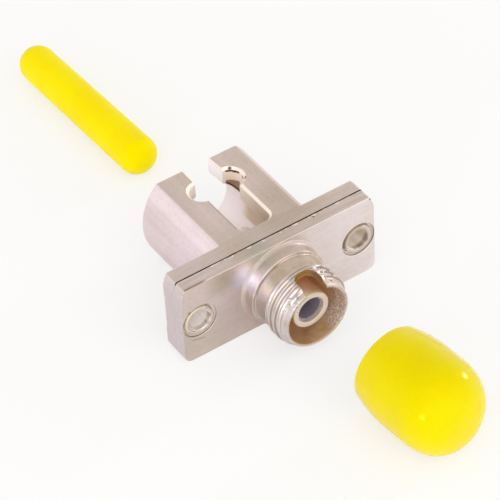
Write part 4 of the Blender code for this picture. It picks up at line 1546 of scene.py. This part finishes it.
class ADAPTER_OT_rear_housing(bpy.types.Operator):
    """Builds the rear plate with its flatted barrel, latch slot, window and bore"""

    bl_idname = "adapter.rear_housing"
    bl_label = "Rear Housing"

    def execute(self, context):
        sizes = context.scene.adapter_sizes
        finish = context.scene.adapter_finish
        body = plate("rear_housing", PARTING_Y + PARTING_GAP / 2, 0, SEAM_EDGE, REAR_EDGE)
        carve(body, [barrel(sizes.barrel_edge / MM)], "UNION")
        cutters = [latched_cavity(sizes.edge_round / MM), slot_cutter()]
        carve(body, cutters + [eyelet_holes(-1), eyelet_holes(1)])
        metal = plated_metal(
            "nickel_rear",
            finish.nickel,
            finish.nickel_warm,
            finish.nickel_roughness + 0.02,
            rings=0.5,
            inside=lambda tree, vector: latch_colour_and_painted_light(tree, vector, finish.wall, finish.wall_deep),
            seam=True,
            drawn=0.17,
        )
        finished(body, metal, "latched_housing")
        return {"FINISHED"}


class ADAPTER_OT_holders(bpy.types.Operator):
    """Builds the two turned sleeve holders"""

    bl_idname = "adapter.holders"
    bl_label = "Sleeve Holders"

    def execute(self, context):
        edge = context.scene.adapter_sizes.edge_round / MM
        metal = plated_metal(
            "nickel_holder",
            (0.86, 0.79, 0.76),
            (0.80, 0.72, 0.62),
            0.3,
            holder_rim,
            mottle=0.03,
            metallic=0.7,
            rings=0.6,
        )
        for name, node, profile in (
            ("large_holder", "large_sleeve_holder", large_holder_profile(edge)),
            ("small_holder", "small_sleeve_holder", small_holder_profile(edge)),
        ):
            holder = turned(name, profile)
            finished(holder, metal, node)
        return {"FINISHED"}


class ADAPTER_OT_sleeves(bpy.types.Operator):
    """Finishes the two split sleeves, which keep the solids' own shape"""

    bl_idname = "adapter.sleeves"
    bl_label = "Split Sleeves"

    def execute(self, context):
        bronze = drawn_bronze("sleeve_bronze")
        for node in ("large_split_sleeve", "small_split_sleeve"):
            sleeve = frame["nodes"][node]
            sleeve.data.materials.clear()
            sleeve.data.materials.append(bronze)
        return {"FINISHED"}


class ADAPTER_OT_eyelets(bpy.types.Operator):
    """Builds the two hollow rivets that hold the plates together"""

    bl_idname = "adapter.eyelets"
    bl_label = "Eyelets"

    def execute(self, context):
        finish = context.scene.adapter_finish
        metal = plated_metal(
            "nickel_eyelet", finish.nickel, finish.nickel_warm, 0.27, eyelet_colour_and_painted_light, 0.46
        )
        for name, side in (("eyelet_left", -1), ("eyelet_right", 1)):
            rivet = turned(f"{name}_turned", eyelet_profile(), FINE_STEPS, (side * HOLE_X, AXIS_Z))
            finished(rivet, metal, name)
        return {"FINISHED"}


class ADAPTER_OT_fat_cap(bpy.types.Operator):
    """Builds the fat soft cap of the threaded port"""

    bl_idname = "adapter.fat_cap"
    bl_label = "Fat Cap"

    def execute(self, context):
        colour = context.scene.adapter_finish.vinyl
        deep = (colour[0] * 0.98, colour[1] * 0.96, colour[2])
        cap = fat_cap("fat_cap", context.scene.adapter_sizes.cap_lip / MM)
        finished(cap, soft_vinyl("vinyl_fat_cap", colour, deep, 0.17, 0.5), "thread_dust_cap")
        return {"FINISHED"}


class ADAPTER_OT_long_plug(bpy.types.Operator):
    """Builds the long soft plug of the latched port"""

    bl_idname = "adapter.long_plug"
    bl_label = "Long Plug"

    def execute(self, context):
        colour = context.scene.adapter_finish.plug_vinyl
        deep = (colour[0] * 0.98, colour[1] * 0.95, colour[2])
        plug = long_plug("long_plug")
        finished(plug, soft_vinyl("vinyl_long_plug", colour, deep, 0.4, 0.2), "long_dust_plug")
        return {"FINISHED"}


def area_light(name, place, size, power, colour):
    """A square soft light that faces the adapter."""
    light = bpy.data.lights.new(name, "AREA")
    light.shape = "SQUARE"
    light.size = size
    light.energy = power
    light.color = colour
    lamp = bpy.data.objects.new(name, light)
    direction = Vector(LIT_PLACE) - Vector(place)
    turn = direction.to_track_quat("-Z", "Y").to_matrix().to_4x4()
    lamp.matrix_world = Matrix.Translation(place) @ turn
    bpy.context.scene.collection.objects.link(lamp)


class ADAPTER_OT_stage(bpy.types.Operator):
    """Sets the floor, the soft light and the camera of the photograph"""

    bl_idname = "adapter.stage"
    bl_label = "Stage"

    def execute(self, context):
        finish = context.scene.adapter_finish
        floor = surface_floor(finish.floor)
        world = bpy.data.worlds.new("soft_room")
        context.scene.world = world
        world.use_nodes = True
        tree = world.node_tree
        room = tree.nodes["Background"]
        direction = tree.nodes.new("ShaderNodeTexCoord").outputs["Generated"]
        height = add_node(tree, "ShaderNodeSeparateXYZ", {0: direction}).outputs["Z"]
        higher = ramped(tree, height, 0.1, 0.7)
        tint = mixed(tree, higher, (1.0, 0.985, 1.0), (0.74, 0.70, 0.645))
        feed(tree, room, {"Color": tint, "Strength": 1.0})
        seen = add_node(tree, "ShaderNodeBackground", {"Color": WHITE, "Strength": 1.0})
        path = tree.nodes.new("ShaderNodeLightPath")
        choice = add_node(
            tree,
            "ShaderNodeMixShader",
            {0: path.outputs["Is Camera Ray"], 1: room.outputs[0], 2: seen.outputs[0]},
        )
        tree.links.new(choice.outputs[0], tree.nodes["World Output"].inputs["Surface"])
        for light in LIGHTS:
            area_light(*light)
        camera = bpy.data.cameras.new("photo_camera")
        camera.lens = CAMERA_LENS
        camera.sensor_width = SENSOR_WIDTH
        camera.clip_start = 0.01
        holder = bpy.data.objects.new("photo_camera", camera)
        forward = Vector(CAMERA_FORWARD).normalized()
        right = Vector(CAMERA_RIGHT)
        right = (right - forward * right.dot(forward)).normalized()
        up = right.cross(forward)
        turn = Matrix((right, up, -forward)).transposed().to_4x4()
        holder.matrix_world = Matrix.Translation(CAMERA_PLACE) @ turn
        context.scene.collection.objects.link(holder)
        context.scene.camera = holder
        context.scene.view_settings.view_transform = "Standard"
        return {"FINISHED"}


def surface_floor(colour):
    """A round pale floor under the pieces, which keeps their shadow."""
    angle = np.linspace(0, math.tau, FINE_STEPS, endpoint=False)
    radius = np.array(FLOOR_RADII)[:, None]
    x = radius * np.cos(angle)
    y = radius * np.sin(angle)
    floor = surface("floor", np.stack([x, y, np.full(x.shape, FLOOR_Z)], -1), capped=False)
    made = bpy.data.materials.new("pale_floor")
    made.use_nodes = True
    tree = made.node_tree
    shader = tree.nodes["Principled BSDF"]
    feed(tree, shader, {"Base Color": colour, "Roughness": 0.9, "Specular IOR Level": 0.0})
    glow = add_node(tree, "ShaderNodeEmission", {"Color": WHITE})
    path = tree.nodes.new("ShaderNodeLightPath")
    share = product(tree, path.outputs["Is Camera Ray"], SEEN_WHITE)
    seen = add_node(
        tree, "ShaderNodeMixShader", {0: share, 1: shader.outputs[0], 2: glow.outputs[0]}
    )
    tree.links.new(seen.outputs[0], tree.nodes["Material Output"].inputs["Surface"])
    floor.data.materials.append(made)
    return floor


class ADAPTER_PT_panel(bpy.types.Panel):
    """Lists the adapter's sizes, finishes and pieces"""

    bl_idname = "ADAPTER_PT_panel"
    bl_label = "Hybrid Fibre Adapter"
    bl_space_type = "VIEW_3D"
    bl_region_type = "UI"
    bl_category = "Adapter"

    def draw(self, context):
        for group in (context.scene.adapter_sizes, context.scene.adapter_finish):
            box = self.layout.box()
            for name in group.__annotations__:
                box.prop(group, name)
        for operator in PIECES:
            self.layout.operator(operator.bl_idname)


PIECES = (
    ADAPTER_OT_front_housing,
    ADAPTER_OT_rear_housing,
    ADAPTER_OT_holders,
    ADAPTER_OT_sleeves,
    ADAPTER_OT_eyelets,
    ADAPTER_OT_fat_cap,
    ADAPTER_OT_long_plug,
    ADAPTER_OT_stage,
)
CLASSES = (AdapterSizes, AdapterFinish, *PIECES, ADAPTER_PT_panel)


def register():
    for cls in CLASSES:
        bpy.utils.register_class(cls)
    bpy.types.Scene.adapter_sizes = bpy.props.PointerProperty(type=AdapterSizes)
    bpy.types.Scene.adapter_finish = bpy.props.PointerProperty(type=AdapterFinish)


def unregister():
    del bpy.types.Scene.adapter_finish
    del bpy.types.Scene.adapter_sizes
    for cls in reversed(CLASSES):
        bpy.utils.unregister_class(cls)


def main():
    register()
    bpy.ops.adapter.front_housing()
    bpy.ops.adapter.rear_housing()
    bpy.ops.adapter.holders()
    bpy.ops.adapter.sleeves()
    bpy.ops.adapter.eyelets()
    bpy.ops.adapter.fat_cap()
    bpy.ops.adapter.long_plug()
    bpy.ops.adapter.stage()


if __name__ == "__main__":
    main()
